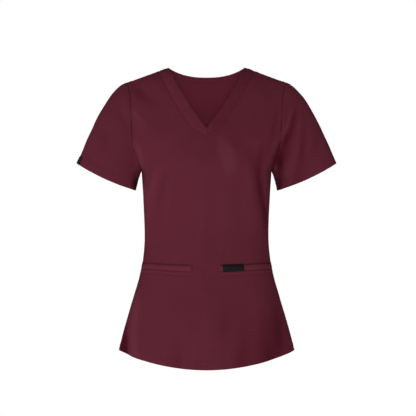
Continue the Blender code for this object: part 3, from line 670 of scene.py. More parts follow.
def addHem(cloth, block, distance, along, seed):
    ripple = hemming["roping"] * wander(along + distance * hemming["twist"], seed, hemming["ropingPitch"])
    share = distance / hemming["depth"]
    rise = ripple * (smooth(0, hemming["ropingFrom"], distance) * (1 - smooth(*hemming["ropingTo"], share)))
    rise = rise - hemming["stitchSink"] * bell((distance - hemming["stitch"]) / hemming["stitchWidth"])
    cloth.lift(block, rise + hemming["bulk"] * (1 - smooth(*hemming["bulkTo"], share)))
    doubled = 1 - smooth(0, 1, (distance - hemming["depth"]) / hemming["slope"])
    cells = cloth.blocks[block].ravel()
    thick = mixed(wall["thick"], hemming["thick"], doubled.ravel())
    cloth.thick[cells] = np.maximum(cloth.thick[cells], thick)
    cloth.near("free", block, distance)


def boundary(faces):
    sides = np.concatenate([faces[:, [k, (k + 1) % 4]] for k in range(4)])
    keys = sides[:, 0].astype(np.int64) * (faces.max() + 1) + sides[:, 1]
    back = sides[:, 1].astype(np.int64) * (faces.max() + 1) + sides[:, 0]
    return sides[~np.isin(keys, back)]


def addObject(name, data):
    made = bpy.data.objects.new(name, data)
    bpy.context.scene.collection.objects.link(made)
    return made


def addPiece(name, data):
    piece = addObject(name, data)
    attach(piece, "root")
    return piece


def addShell(name, sides, faces, uv, extra, material, node):
    # sides: the outer and inner points; extra: a value for each of them, kept as attributes for the materials
    count = len(uv)
    rim = boundary(faces)
    walls = np.stack([rim[:, 1], rim[:, 0], rim[:, 0] + count, rim[:, 1] + count], axis=-1)
    faces = np.concatenate([faces, faces[:, ::-1] + count, walls])
    used = np.unique(faces)
    data = bpy.data.meshes.new(name)
    data.from_pydata(np.concatenate(sides)[used].tolist(), [], np.searchsorted(used, faces).tolist())
    layer = data.uv_layers.new(name="cloth")
    loops = np.empty(len(data.loops), np.int32)
    data.loops.foreach_get("vertex_index", loops)
    layer.data.foreach_set("uv", np.concatenate([uv, uv])[used][loops].astype(np.float32).ravel())
    for key, values in extra.items():
        values = np.concatenate(values)[used].astype(np.float32)
        data.attributes.new(key, "FLOAT", "POINT").data.foreach_set("value", values)
    data.shade_smooth()
    data.set_sharp_from_angle(angle=math.radians(wall["sharpFrom"]))
    data.materials.append(material)
    piece = addPiece(name, data)
    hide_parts(node)
    return piece


def foldedEdge(distance, radius):  # how far a folded edge's face falls away
    inside = np.clip(distance, 0, radius)
    return radius - np.sqrt(np.maximum(radius**2 - (radius - inside) ** 2, 0))


def makeShell(cloth, node):
    radius = cloth.thick / 2
    fall = np.where(cloth.free < radius, foldedEdge(cloth.free, radius), 0)
    cloth.outer = cloth.points + cloth.normals * (cloth.rise - fall)[:, None]
    inner = cloth.points + cloth.normals * (cloth.rise * wall["innerRelief"] - cloth.thick + fall)[:, None]
    extra = {
        "seamGap": (cloth.seam, cloth.seam + wall["innerSeam"]),
        "foldGap": (cloth.free, cloth.free),
        "inside": (cloth.free * 0, 1 + cloth.pale),
        # painted shade, below 0 painted highlight; the inner face gets it the other way round
        "trough": (cloth.trough, -cloth.trough * wall["innerPaintedShade"]),
    }
    sides = (cloth.outer, inner)
    addShell(cloth.name, sides, cloth.faces, cloth.uv, extra, clothMaterial, node)


def makePatch(node, base, normals, heights, material, slotName, **values):
    # a piece that lies on a cloth: grids of the cloth's face and normals, and the heights of its two faces
    sides = [(base + normals * height[..., None]).reshape(-1, 3) for height in heights]
    faces = gridFaces(base.shape)
    if (cornerNormals(sides[0], faces) * normals.reshape(-1, 3)[faces[:, 0]]).sum() < 0:
        faces = faces[:, ::-1]
    edge = edgeGap(base)
    values = {"seamGap": edge + patches["seamFrom"], "foldGap": edge, "inside": 0, "trough": 0, **values}
    extra = {key: [np.broadcast_to(value, edge.shape).ravel()] * 2 for key, value in values.items()}
    uv = lengthUv(base).reshape(-1, 2)
    addShell(node + "_piece", sides, faces, uv, extra, material, node)
    return sides[0].reshape(base.shape)


class Wire:  # a socket's value, so that sums read as sums
    def __init__(self, graph, socket):
        self.graph, self.socket = graph, socket

    def mathNode(self, operation, *values):
        return self.graph.node("ShaderNodeMath", {"operation": operation}, dict(enumerate(values)))

    def __add__(self, other):
        return self.mathNode("ADD", self, other)

    def __radd__(self, other):
        return self.mathNode("ADD", other, self)

    def __sub__(self, other):
        return self.mathNode("SUBTRACT", self, other)

    def __rsub__(self, other):
        return self.mathNode("SUBTRACT", other, self)

    def __mul__(self, other):
        return self.mathNode("MULTIPLY", self, other)

    def __rmul__(self, other):
        return self.mathNode("MULTIPLY", other, self)

    def sine(self):
        return self.mathNode("SINE", self)


class Graph:
    def __init__(self, tree):
        self.tree = tree

    def node(self, kind, settings=None, sockets=None, out=0):
        made = self.tree.nodes.new(kind)
        for key, value in (settings or {}).items():
            setattr(made, key, value)
        for key, value in (sockets or {}).items():
            if isinstance(value, Wire):
                self.tree.links.new(value.socket, made.inputs[key])
            else:
                made.inputs[key].default_value = value
        return Wire(self, made.outputs[out])

    def mix(self, factor, a, b):
        return self.node("ShaderNodeMix", {"data_type": "RGBA"}, {0: factor, 6: a, 7: b}, out=2)

    def noise(self, place, scale, detail, **more):
        given = {"Vector": place, "Scale": scale, "Detail": detail, **more}
        return self.node("ShaderNodeTexNoise", sockets=given)

    def attribute(self, name):
        return self.node("ShaderNodeAttribute", {"attribute_name": name}, out=2)

    def fade(self, value, start, end, first, last):  # smooth, from first at start to last at end
        given = {0: value, 1: start, 2: end, 3: first, 4: last}
        return self.node("ShaderNodeMapRange", {"interpolation_type": "SMOOTHSTEP"}, given)

    def bump(self, height, strength, distance):
        given = {"Height": height, "Strength": strength, "Distance": distance}
        return self.node("ShaderNodeBump", sockets=given)

    def parts(self, vector):  # its x, y and z
        split = self.node("ShaderNodeSeparateXYZ", sockets={0: vector})
        return [Wire(self, part) for part in split.socket.node.outputs]

    def feed(self, shader, wires):
        for name, wire in wires.items():
            self.tree.links.new(wire.socket, shader.inputs[name])


def newMaterial(name, roughness, specular):
    material = bpy.data.materials.new(name)
    material.use_nodes = True
    shader = material.node_tree.nodes["Principled BSDF"]
    shader.inputs["Roughness"].default_value = roughness
    shader.inputs["Specular IOR Level"].default_value = specular
    return material, Graph(material.node_tree), shader


twill = {
    "colour": (0.0905, 0.0147, 0.0260, 1),
    "light": (0.1055, 0.0191, 0.0323, 1),
    # painted highlight, on ridges
    "paintedHighlight": (0.1240, 0.0272, 0.0414, 1),
    # painted shade, in creases and seams; the pocket bags also take some of it
    "deep": (0.0360, 0.0004, 0.0045, 1),
    "wrongSide": (0.1580, 0.0240, 0.0440, 1),  # the inner face is paler: partly the twill's wrong side, partly painted light
    "pocketing": 0.25,  # how much of the deep colour the pocket bags have
    "pitch": 0.00078,  # between two twill lines
    "lean": 1.35,
    "yarn": 0.8,  # pitch of the yarns, as a share of the lines'
    "slubs": (900.0, 2.0),  # scale and detail of each noise
    "clouds": (14.0, 4.0),
    "cloudRoughness": 0.55,
    "flecks": (260.0, 3.0),
    "bend": 1.6,  # how far the slubs bend the lines
    "weave": (0.5, 0.18, 0.5),  # strengths of lines, yarns and slubs
    "tone": (0.9, 0.5, 0.16),  # strengths of clouds, flecks and weave
    "low": (0.02, 1.3),  # painted shade, from where it starts to deepen the colour to where it is full
    # painted highlight, where the painted shade is below 0
    "high": (-0.02, -0.9),
    "seamReach": 0.0024,
    "foldReach": 0.0030,
    "layers": {  # strength and colour, in the order they are laid
        "low": (0.75, "deep"),
        "high": (0.55, "paintedHighlight"),
        # the inner face's paler colour, partly painted light
        "inner": (0.62, "wrongSide"),
        # painted shade along seams and a patch's edges
        "seamShade": (0.45, "deep"),
        "onFold": (0.20, "light"),
    },
    "roughness": 0.80,
    "roughnessSpread": (0.16, 0.03),  # by clouds and weave
    "specular": 0.0,
    "bump": 0.5,
    "weaveHeight": 0.00010,
    "fleckHeight": 0.8,
}


def twillMaterial(name, deepen=0.0):
    material, graph, shader = newMaterial(name, twill["roughness"], twill["specular"])
    uv = graph.node("ShaderNodeUVMap", {"uv_map": "cloth"})
    place = graph.node("ShaderNodeTexCoord", out=3)
    across, up, _ = graph.parts(uv)
    slubs = graph.noise(uv, *twill["slubs"])
    cloud = graph.noise(place, *twill["clouds"], Roughness=twill["cloudRoughness"])
    fleck = graph.noise(place, *twill["flecks"])
    line = ((across + up * twill["lean"]) * (2 * math.pi / twill["pitch"]) + slubs * twill["bend"]).sine()
    yarn = (across * (2 * math.pi / (twill["pitch"] * twill["yarn"]))).sine()
    ofLine, ofYarn, ofSlubs = twill["weave"]
    weave = line * ofLine + yarn * ofYarn + slubs * ofSlubs
    ofCloud, ofFleck, ofWeave = twill["tone"]
    tone = (cloud - 0.5) * ofCloud + (fleck - 0.5) * ofFleck + weave * ofWeave + 0.5
    # painted shade and painted highlight, laid on the cloth's colour by the masks below
    trough = graph.attribute("trough")
    masks = {
        "low": graph.fade(trough, *twill["low"], 0.0, 1.0),
        "high": graph.fade(trough, *twill["high"], 0.0, 1.0),
        "inner": graph.attribute("inside"),
        "seamShade": graph.fade(graph.attribute("seamGap"), 0.0, twill["seamReach"], 1.0, 0.0),
        "onFold": graph.fade(graph.attribute("foldGap"), 0.0, twill["foldReach"], 1.0, 0.0),
    }
    cloth = graph.mix(tone, twill["colour"], twill["light"])
    for key, (strength, colour) in twill["layers"].items():
        cloth = graph.mix(masks[key] * strength, cloth, twill[colour])
    if deepen:
        cloth = graph.mix(deepen, cloth, twill["deep"])
    byCloud, byWeave = twill["roughnessSpread"]
    rough = twill["roughness"] + (cloud - 0.5) * byCloud - weave * byWeave
    height = weave + fleck * twill["fleckHeight"]
    bump = graph.bump(height, twill["bump"], twill["weaveHeight"])
    graph.feed(shader, {"Base Color": cloth, "Roughness": rough, "Normal": bump})
    return material


threadLook = {
    "colour": (0.078, 0.0104, 0.0200, 1),
    "light": (0.121, 0.0207, 0.0350, 1),
    "twist": 5200.0,
    "lean": 0.7,
    "roughness": (0.68, 0.12),  # and how much the twist takes off it
    "specular": 0.2,
}


def threadMaterial():
    material, graph, shader = newMaterial("maroon thread", threadLook["roughness"][0], threadLook["specular"])
    x, y, z = graph.parts(graph.node("ShaderNodeTexCoord", out=3))
    twist = ((x + y * threadLook["lean"] + z) * threadLook["twist"]).sine() * 0.5 + 0.5
    rough, less = threadLook["roughness"]
    colour = graph.mix(twist, threadLook["colour"], threadLook["light"])
    graph.feed(shader, {"Base Color": colour, "Roughness": rough - twist * less})
    return material


labelLook = {
    "colour": (0.0030, 0.0030, 0.0038, 1),
    "light": (0.0085, 0.0083, 0.0098, 1),
    "pitch": 0.00042,
    "pick": 1.7,  # pitch of the cross threads, as a share of the ribs'
    "fuzz": (1400.0, 2.0),  # scale and detail
    "weave": (0.7, 0.3),  # strengths of ribs and cross threads
    "tone": (0.6, 0.3),  # strengths of weave and fuzz
    "roughness": (0.44, 0.16),  # and how much the weave adds
    "specular": 0.09,
    "bump": 0.5,
    "height": 0.00005,
}


def labelMaterial():
    material, graph, shader = newMaterial("black woven label", labelLook["roughness"][0], labelLook["specular"])
    uv = graph.node("ShaderNodeUVMap", {"uv_map": "cloth"})
    across, up, _ = graph.parts(uv)
    rib = (up * (2 * math.pi / labelLook["pitch"])).sine() * 0.5 + 0.5
    pick = (across * (2 * math.pi / (labelLook["pitch"] * labelLook["pick"]))).sine() * 0.5 + 0.5
    weave = rib * labelLook["weave"][0] + pick * labelLook["weave"][1]
    tone = weave * labelLook["tone"][0] + graph.noise(uv, *labelLook["fuzz"]) * labelLook["tone"][1]
    colour = graph.mix(tone, labelLook["colour"], labelLook["light"])
    rough = labelLook["roughness"][0] + weave * labelLook["roughness"][1]
    bump = graph.bump(weave, labelLook["bump"], labelLook["height"])
    graph.feed(shader, {"Base Color": colour, "Roughness": rough, "Normal": bump})
    return material


clothMaterial = twillMaterial("maroon twill")
pocketMaterial = twillMaterial("maroon pocketing", twill["pocketing"])
stitchMaterial = threadMaterial()
blackMaterial = labelMaterial()
print("materials made")

front = {
    "weltTopZ": -0.4414,
    "weltLowZ": -0.4572,
    "weltEndRight": 0.0312,  # from the middle
    "weltEndLeft": 0.0251,
    "label": (0.0350, 0.0812),
    "bagLowZ": -0.575,
    "bagShort": 8,  # columns between a bag and the side seam
}
bodyCentre = np.array([0, 0, form["underarmZ"]])


def lowerRows():  # from the hem to the underarm, closer at the hem and the welts
    height = form["underarmZ"] - form["hemSideZ"]
    weltLow, weltTop = (rowOfMiddle(z, 0, underarmFront) for z in (front["weltLowZ"], front["weltTopZ"]))
    hem = hemRows / height
    parts = (
        (0.0, hem, stops(hem * height, True, True, mesh["hemStep"])),
        (hem, weltLow, stops((weltLow - hem) * height, False, True, fine=mesh["fineAtWelt"])),
        (weltLow, weltTop, stops((weltTop - weltLow) * height, True, True, mesh["weltStep"])),
        (weltTop, underarmFront, stops((underarmFront - weltTop) * height, True, False)),
    )
    rows = np.concatenate([mixed(low, high, shares[:-1]) for low, high, shares in parts] + [[underarmFront]])
    return rows, [int(np.argmin(np.abs(rows - r))) for r in (weltLow, weltTop)]


def armStops(start, end, low, high, step=None):  # rows between two beside the armhole
    return mixed(start, end, stops(mesh["armLength"] * abs(end - start), low, high, step))


def frontUpperRows():
    blunt = rowOfMiddle(neck["vZ"] - neck["bandBlunt"], underarmFront, shoulder)
    corner = rowThrough(neck["bandCornerX"], neck["vZ"], underarmFront, shoulder)
    start = armStops(blunt, corner, True, False, mesh["bluntStep"])
    beside = armStops(corner, shoulder, False, True)
    return armStops(underarmFront, blunt, False, True), np.concatenate([start[:-1], beside])


def columnsThrough(marks):  # shares across a half row, with one at each mark
    ends = [0.0, *marks, 1.0]
    shares, places = [np.array([0.0])], [0]
    for a, b in zip(ends, ends[1:]):
        run = mixed(a, b, stops((b - a) * mesh["halfWidth"]))
        shares.append(run[1:])
        places.append(places[-1] + len(run) - 1)
    return np.concatenate(shares), places


def halfRows(rows, starts, columns):
    across = mixed(starts[:, None], 1, columns)
    row = np.broadcast_to(rows[:, None], across.shape)
    points = torso(across, row)
    fine = np.linspace(0, 1, mesh["rowSamples"])
    lengths = lengthsAlong(torso(fine[None, :], rows[:, None]), 1)
    u = np.stack([np.interp(a, fine, l) for a, l in zip(across, lengths)])
    return points, u


def middleLength(rows):  # length down the garment at a quarter's width, as the cloth's second coordinate
    fine = np.linspace(0, hemBack, mesh["middleSamples"])
    run = lengthsAlong(torso(np.full_like(fine, 0.5), fine)[:, None], 0)[:, 0]
    return np.interp(rows, fine, run)


def uvGrid(u, rows):
    return np.stack(np.broadcast_arrays(u, middleLength(rows)[:, None]), axis=-1)


lower, (weltLowRow, weltTopRow) = lowerRows()
belowV, besideV = frontUpperRows()
frontWhole = np.concatenate([lower, belowV[1:]])
frontArmRows = np.concatenate([belowV, besideV[1:]])
weltRow = rowOfMiddle((front["weltTopZ"] + front["weltLowZ"]) / 2, 0, underarmFront)
leftColumns, leftPlaces = columnsThrough(acrossAt(np.array([front["weltEndLeft"], *front["label"]]), weltRow))
rightColumns, rightPlaces = columnsThrough(acrossAt(np.array([front["weltEndRight"]]), weltRow))
seamX = cutAcross(besideV, bandSeamX)
seamX[0] = 0


def makeFront():
    grids, uvs = [], []
    for columns, side in ((leftColumns, 1), (rightColumns, -1)):
        for rows, starts in ((frontWhole, np.zeros(len(frontWhole))), (besideV, seamX)):
            points, u = halfRows(rows, starts, columns)
            uv = uvGrid(u, rows)
            grids.append(points if side > 0 else mirrored(points))
            uvs.append(uv if side > 0 else mirroredUv(uv))
    return Cloth("scrub_front", grids, uvs, bodyCentre)


def bindingSeam(count):
    half = neck["half"] + neck["bindingWidth"]
    shoulderZ = torso(acrossAt(half, shoulder), shoulder)[2]
    x = half * np.sin(np.linspace(0, np.pi / 2, count + 1)) ** neck["bindingSpread"]
    z = backNeckZ(x[:-1], neck["backZ"] - neck["bindingWidth"], half, shoulderZ)
    rows = rowThrough(x[:-1], z, underarmBack, shoulder)
    return x, np.append(rows, shoulder)


napeX, napeRows = bindingSeam(mesh["napeColumns"])
belowNape = armStops(underarmBack, napeRows[0], False, True)
backWhole = np.concatenate([hemBack - lower, belowNape[1:]])
backArmRows = np.concatenate([belowNape, napeRows[1:]])
backColumns, _ = columnsThrough(())


def makeBack():
    starts = acrossAt(napeX, napeRows)
    starts[0] = 0
    grids, uvs = [], []
    for rows, rowStarts in ((backWhole, np.zeros(len(backWhole))), (napeRows, starts)):
        points, u = halfRows(rows, rowStarts, backColumns)
        uv = uvGrid(u, rows)
        grids += [points, mirrored(points)]
        uvs += [uv, mirroredUv(uv)]
    return Cloth("scrub_back", grids, uvs, bodyCentre)


def stripBetween(innerX, outerX, innerRows, outerRows, shares):  # a strip of the torso between two lines on it
    x = mixed(innerX[:, None], outerX[:, None], shares)
    rows = mixed(innerRows[:, None], outerRows[:, None], shares)
    return torso(acrossAt(x, rows), rows)


def makeBand(side):  # one half of the neckband, from the mitre at the V to the shoulder seam
    vRow = rowOfMiddle(neck["vZ"], underarmFront, shoulder)
    edgeRows = mixed(vRow, shoulder, (besideV - besideV[0]) / (shoulder - besideV[0]))
    outerX = torso(seamX, besideV)[:, 0]
    innerX = torso(cutAcross(edgeRows, neckEdgeX), edgeRows)[:, 0]
    outerX[0] = innerX[0] = 0
    width = stops(neck["bandWidth"], step=mesh["bandStep"])
    points = stripBetween(innerX, outerX, edgeRows, besideV, width)
    uv = lengthUv(points)
    if side > 0:
        return Cloth("scrub_neckband_left", [points], [uv], bodyCentre)
    return Cloth("scrub_neckband_right", [mirrored(points)], [mirroredUv(uv)], bodyCentre)


def makeBinding():
    edgeX = napeX * neck["half"] / (neck["half"] + neck["bindingWidth"])
    edgeZ = backNeckZ(edgeX[:-1], neck["backZ"], neck["half"], 0)
    edgeRows = np.append(rowThrough(edgeX[:-1], edgeZ, underarmBack, shoulder), shoulder)
    width = stops(neck["bindingWidth"], step=mesh["bindingStep"])
    half = stripBetween(edgeX, napeX, edgeRows, napeRows, width)
    uv = lengthUv(half)
    return Cloth("scrub_back_neck_binding", [half, mirrored(half)], [uv, (uv * (1, -1))[:, ::-1]], bodyCentre)


armRows = np.concatenate([frontArmRows, backArmRows[1:-1][::-1]])
turns = np.pi * (shoulder - armRows)


def makeSleeve(side):
    rings = []
    for turn in turns:
        length = lengthsAlong(sleeveAt(turn, np.linspace(0, 1, mesh["ringSamples"]))[:, None], 0)[-1, 0]
        beside = length - np.array([0.0, *mesh["fine"]])
        plain = np.linspace(length - mesh["fine"][-1], hemRows, mesh["sleeveRows"])[1:]
        hem = hemRows * (1 - stops(hemRows, step=mesh["hemStep"]))[1:]
        rings.append(alongFromCuff(turn, np.concatenate([beside, plain, hem])))
    along = np.array(rings).T
    along[0], along[-1] = 0, 1
    points = sleeveAt(turns[None, :], along)
    v = lengthsAlong(points, 0)
    uv = np.stack([np.broadcast_to(turns * sleeveForm["uvRadius"], v.shape), v], axis=-1)
    flip = np.array([side, 1, 1])
    name = "scrub_sleeve_" + ("left" if side > 0 else "right")
    return Cloth(name, [points * flip], [uv * flip[:2]], sleeveForm["centre"] * flip, closed=True)


frontCloth, backCloth = makeFront(), makeBack()
bandLeft, bandRight = makeBand(1), makeBand(-1)
bindingCloth = makeBinding()
sleeveLeft, sleeveRight = makeSleeve(1), makeSleeve(-1)
cloths = {
    "front": frontCloth,
    "back": backCloth,
    "neckband_left": bandLeft,
    "neckband_right": bandRight,
    "back_neck_binding": bindingCloth,
    "sleeve_left": sleeveLeft,
    "sleeve_right": sleeveRight,
}
print("cloth laid out:", sum(len(cloth.points) for cloth in cloths.values()), "points")

seeds = {  # of the puckers and ripples; a side is added to most of them
    "frontSide": 30,
    "frontHem": 41,
    "neckband": 50,
    "shoulder": 60,
    "backSide": 70,
    "backHem": 77,
    "nape": 80,
    "binding": 90,
    "bandLeft": 101,
    "bandRight": 111,
    "sleeveLeft": 121,
    "sleeveRight": 131,
    "stitches": 3,
}
sideSeam = {
    "calm": 0.15,  # puckers below the armhole, as a share of those beside it
    "calmTo": (-0.004, 0.040),  # from the underarm
    "back": 0.8,  # the back's, as a share of the front's
}


def sewSide(cloth, block, side, seed, bulk, strength=1.0):  # runs on from the side seam into the armhole
    grid = cloth.grid(block)
    z = grid[:, -1 if side > 0 else 0, 2][:, None]
    low, high = (form["underarmZ"] + at for at in sideSeam["calmTo"])
    pucker = mixed(sideSeam["calm"], 1, smooth(low, high, z)) * strength
    addSeam(cloth, block, fromMiddle(lengthsAlong(grid, 1), side)[1], z, seed, bulk, pucker=pucker)


neckband = {
    "thick": 0.0022,
    "tilt": 0.0034,  # the inner edge stands this far proud
    "tiltFrom": 0.045,  # of the shoulder
    "puff": 0.0007,
    "puffFrom": 0.004,
    "lumps": (0.0002, 0.0004),  # right and left
    "lumpPitch": (0.022, 0.031),
    "lumpSlant": (0.7, -1.2),
    "lumpMix": (0.55, 0.45),  # how much of the first waves stands everywhere, and only on the second
    "lumpShade": 0.7,
    # painted light on the right band and painted shade on the left, varied by the lumps
    "shade": (-0.20, 0.30),
    "crisp": (0.12, 0.45),  # its seam at the V, and above
    "crispFrom": (0.005, 0.070),
}


def sewFront():
    for whole, beside, side in ((0, 1, 1), (2, 3, -1)):
        for block in (whole, beside):
            sewSide(frontCloth, block, side, seeds["frontSide"] + side, True)
        grid = frontCloth.grid(whole)
        addHem(frontCloth, whole, lengthsAlong(grid, 0), grid[:1, :, 0], seeds["frontHem"])
        grid = frontCloth.grid(beside)
        across, down = lengthsAlong(grid, 1), lengthsAlong(grid, 0)
        (soft, crisp), (low, high) = neckband["crisp"], neckband["crispFrom"]
        z = grid[:, 0 if side > 0 else -1, 2][:, None] - neck["vZ"]
        crisp = mixed(soft, crisp, smooth(low, high, z))
        toBand, toShoulder = fromMiddle(across, side)[0], toEnd(down, 0)
        seed, rows = seeds["neckband"] + side, sewing["oneRow"]
        addSeam(frontCloth, beside, toBand, down, seed, stitchAt=rows, crisp=crisp)
        addSeam(frontCloth, beside, toShoulder, across, seeds["shoulder"] + side, bulk=False, pucker=0.5)


welt = {
    "lift": 0.0002,
    "thick": 0.0011,
    "crown": 0.0017,
    "crownRound": 2.2,
    "endRound": 0.0024,  # how far its inner end curves in, and by what share
    "endNarrow": 0.14,
    "endFade": (0.0005, 0.006),  # where its mouth and grooves begin, from its inner end
    "crownFrom": 0.003,
    "flatAtSide": 0.034,  # where it is pressed flat into the side seam
    "pressed": 0.1,  # how much of its height is left there
    "dip": 0.0026,  # its line dips beside the side seam
    "dipEnds": (0.014, 0.020, 0.070),  # full from the first to the second, gone at the third
    "mouth": 0.0011,  # the opening above it
    "mouthWidth": 0.0017,
    "gape": (0.7, 2.0),  # how much wider the opening is at the side, right and left
    "gapeEnds": (0.005, 0.010, 0.045),
    "mouthShade": ((0.28, 0.50), (0.28, 1.05)),  # painted shadow in its mouth, right and left, by the middle and by the side
    "shadeTo": (0.020, 0.075),
    "under": (0.0004, 0.0012, 0.0003, 0.45),  # groove along its lower edge: place, width, depth, painted shade
    "line": (0.0092, 0.0015, 0.0004, 0.38),  # groove of the stitches below it
    "ridge": 0.0005,  # the allowance between them
    "ridgeEnds": (0.0002, 0.0022, 0.0060, 0.0086),
    # below 0: a painted highlight on the allowance
    "ridgeShade": -0.4,
    "calmAtSide": 0.010,
    "narrower": 0.0016,  # than the label that wraps it
    "faceShade": (0.35, 0.0028, -0.5),  # painted shade at its edges, height where it is gone, and painted highlight on its crown
    "tacks": (0.0012, 0.0023),  # rows of close stitches, from its inner end
    "tackShort": 3,  # points that they leave free above and below
    "edgeStitch": 0.0016,
}


def weltLines(block, columns, side, narrower=welt["narrower"]):
    # the front's cells there, heights up its columns, the welt's top and lower line, distances from its ends
    index = frontCloth.blocks[block][:, columns]
    grid = frontCloth.points[index]
    up = lengthsAlong(grid, 0)
    toInner, toSide = fromMiddle(lengthsAlong(grid[weltTopRow : weltTopRow + 1], 1), side)
    near, full, far = welt["dipEnds"]
    dip = welt["dip"] * smooth(0, near, toSide) * (1 - smooth(full, far, toSide))
    return index, up, up[weltTopRow] - dip - narrower, up[weltLowRow] - dip, toSide, toInner


def sewWelt(block, columns, side):
    index, up, top, low, toSide, toInner = weltLines(block, columns, side)
    above, below = up - top, low - up
    fade = smooth(*welt["endFade"], toInner)
    near, full, far = welt["gapeEnds"]
    gape = 1 + welt["gape"][side > 0] * (1 - smooth(full, far, toSide)) * smooth(0, near, toSide)
    mouth = bell(above / welt["mouthWidth"]) * fade * gape
    inner, outer = welt["mouthShade"][side > 0]
    rise = -welt["mouth"] * mouth
    shade = mixed(inner, outer, 1 - smooth(*welt["shadeTo"], toSide)) * mouth
    for place, width, depth, dark in (welt["under"], welt["line"]):
        groove = bell((below - place) / width) * fade
        rise = rise - depth * groove
        shade = shade + dark * groove
    start, full, ends, gone = welt["ridgeEnds"]
    ridge = smooth(start, full, below) * (1 - smooth(ends, gone, below)) * fade
    frontCloth.rise[index] += (rise + welt["ridge"] * ridge) * smooth(0, welt["calmAtSide"], toSide)
    # painted shadow in the mouth and grooves, painted highlight on the ridge
    frontCloth.trough[index] += shade + welt["ridgeShade"] * ridge


def sewBack():
    for block, side in enumerate((1, -1, 1, -1)):
        grid = backCloth.grid(block)
        across, down = lengthsAlong(grid, 1), lengthsAlong(grid, 0)
        sewSide(backCloth, block, side, seeds["backSide"] + side, False, sideSeam["back"])
        if block < 2:
            addHem(backCloth, block, down, grid[:1, :, 0], seeds["backHem"])
        else:
            toNape, toShoulder = fromMiddle(across, side)[0], toEnd(down, 0)
            addSeam(backCloth, block, toNape, down, seeds["nape"] + side, bulk=False, pucker=0.6, crisp=0.3)
            seed, rows = seeds["shoulder"] + side, sewing["twoRows"]
            addSeam(backCloth, block, toShoulder, across, seed, stitchAt=rows, pucker=0.5)


def sewBand(cloth, side, seed):
    cloth.thick[:] = neckband["thick"]
    grid = cloth.grid(0)
    run, along = lengthsAlong(grid, 1), lengthsAlong(grid, 0)
    inner, outer = fromMiddle(run, side)
    cells = cloth.blocks[0].ravel()
    share = np.clip(outer / neck["bandWidth"], 0, 1)
    slants, (everywhere, inPlaces) = neckband["lumpSlant"], neckband["lumpMix"]
    first, second = (
        wander(along + slant * run, seed + more, pitch)
        for slant, pitch, more in zip(slants, neckband["lumpPitch"], (0, 5))
    )
    lump = first * (everywhere + inPlaces * second)
    puff = neckband["puff"] * np.sin(np.pi * share) + neckband["lumps"][side > 0] * lump
    shade = neckband["shade"][side > 0] * (1 + neckband["lumpShade"] * lump) * np.ones_like(run)
    cloth.trough[cells] += shade.ravel()
    tilt = neckband["tilt"] * share * smooth(0, neckband["tiltFrom"], toEnd(along, 0))
    cloth.rise[cells] += (puff * smooth(0, neckband["puffFrom"], outer) + tilt).ravel()
    cloth.near("free", 0, inner)
    addSeam(cloth, 0, outer, along, seed, bulk=False, pucker=1.3, crisp=0.35)
    addSeam(cloth, 0, along, run, seed + 1, bulk=False, pucker=0.0, crisp=0.15)
    addSeam(cloth, 0, toEnd(along, 0), run, seed + 2, bulk=False, pucker=0.0, crisp=0.5)


binding = {
    "thick": 0.0015,
    "pale": 0.55,  # painted light on its inner face, more than on the inner face elsewhere
    "nape": (0, 0.08, 0.0),  # the back's inner face gets as much painted light there
    "napeReach": (0.04, 0.17),
    "awayFromNape": 0.95,  # how much less pale
}


def sewBinding():
    bindingCloth.thick[:] = binding["thick"]
    bindingCloth.pale[:] = binding["pale"]
    for block, side in enumerate((1, -1)):
        grid = bindingCloth.grid(block)
        inner, outer = fromMiddle(lengthsAlong(grid, 1), side)
        bindingCloth.near("free", block, inner)
        along, seed = lengthsAlong(grid, 0), seeds["binding"] + block
        addSeam(bindingCloth, block, outer, along, seed, bulk=False, pucker=0.4, crisp=0.3)
    toNape = np.linalg.norm(backCloth.points - binding["nape"], axis=-1)
    # painted light on the back's inner face near the nape
    backCloth.pale[:] = binding["pale"] - binding["awayFromNape"] * smooth(*binding["napeReach"], toNape)


def sewSleeve(cloth, seed):
    down = lengthsAlong(cloth.grid(0), 0)
    toCuff = toEnd(down, 0)
    around = np.broadcast_to((turns * sleeveForm["uvRadius"])[None, :], down.shape)
    addHem(cloth, 0, toCuff, around, seed)
    addSeam(cloth, 0, down, around, seed + 1, stitchAt=sewing["oneRow"], pucker=1.15)
    under = np.minimum(around - around.min(), around.max() + mesh["step"] - around)  # the seam under the arm
    addSeam(cloth, 0, under, down, seed + 2, bulk=False, pucker=0.6)


weltPlaces = {  # block of the front, its columns, side
    "left": (0, slice(leftPlaces[1], len(leftColumns)), 1),
    "right": (2, slice(0, len(rightColumns) - rightPlaces[1]), -1),
}
sewFront()
for place in weltPlaces.values():
    sewWelt(*place)
sewBack()
sewBand(bandLeft, 1, seeds["bandLeft"])
sewBand(bandRight, -1, seeds["bandRight"])
sewBinding()
sewSleeve(sleeveLeft, seeds["sleeveLeft"])
sewSleeve(sleeveRight, seeds["sleeveRight"])
setNormals(cloths.values())
for cloth in cloths.values():
    pressFolds(cloth)
setNormals(cloths.values())
for cloth in cloths.values():
    pressCreases(cloth)
    addSlack(cloth)
setNormals(cloths.values())
print("seams, hems and folds in place")

for node, cloth in cloths.items():
    makeShell(cloth, node)
print("shells made")

patches = {"seamFrom": 0.0008, "gap": 0.0001}
bag = {
    "gap": 0.0016,  # behind the front
    "thick": 0.0016,
    "limp": 0.0006,  # more, on average, and by how much that varies
    "limpShare": 0.8,
    "limpPitch": 0.045,
    "limpSlant": 0.4,
    "limpFrom": 0.02,
    "seed": 7,
    "every": 2,  # rows and columns of the front
}
label = {"thick": 0.0006, "rounding": 0.0003, "gap": 0.0002, "reach": 0.50, "height": 0.0185}


def alongColumns(levels, up, grid):  # a grid's values where its columns reach the levels
    def column(c):
        return [np.interp(levels[:, c], up[:, c], grid[:, c, k]) for k in range(3)]

    return np.moveaxis(np.array([column(c) for c in range(grid.shape[1])]), -1, 0)


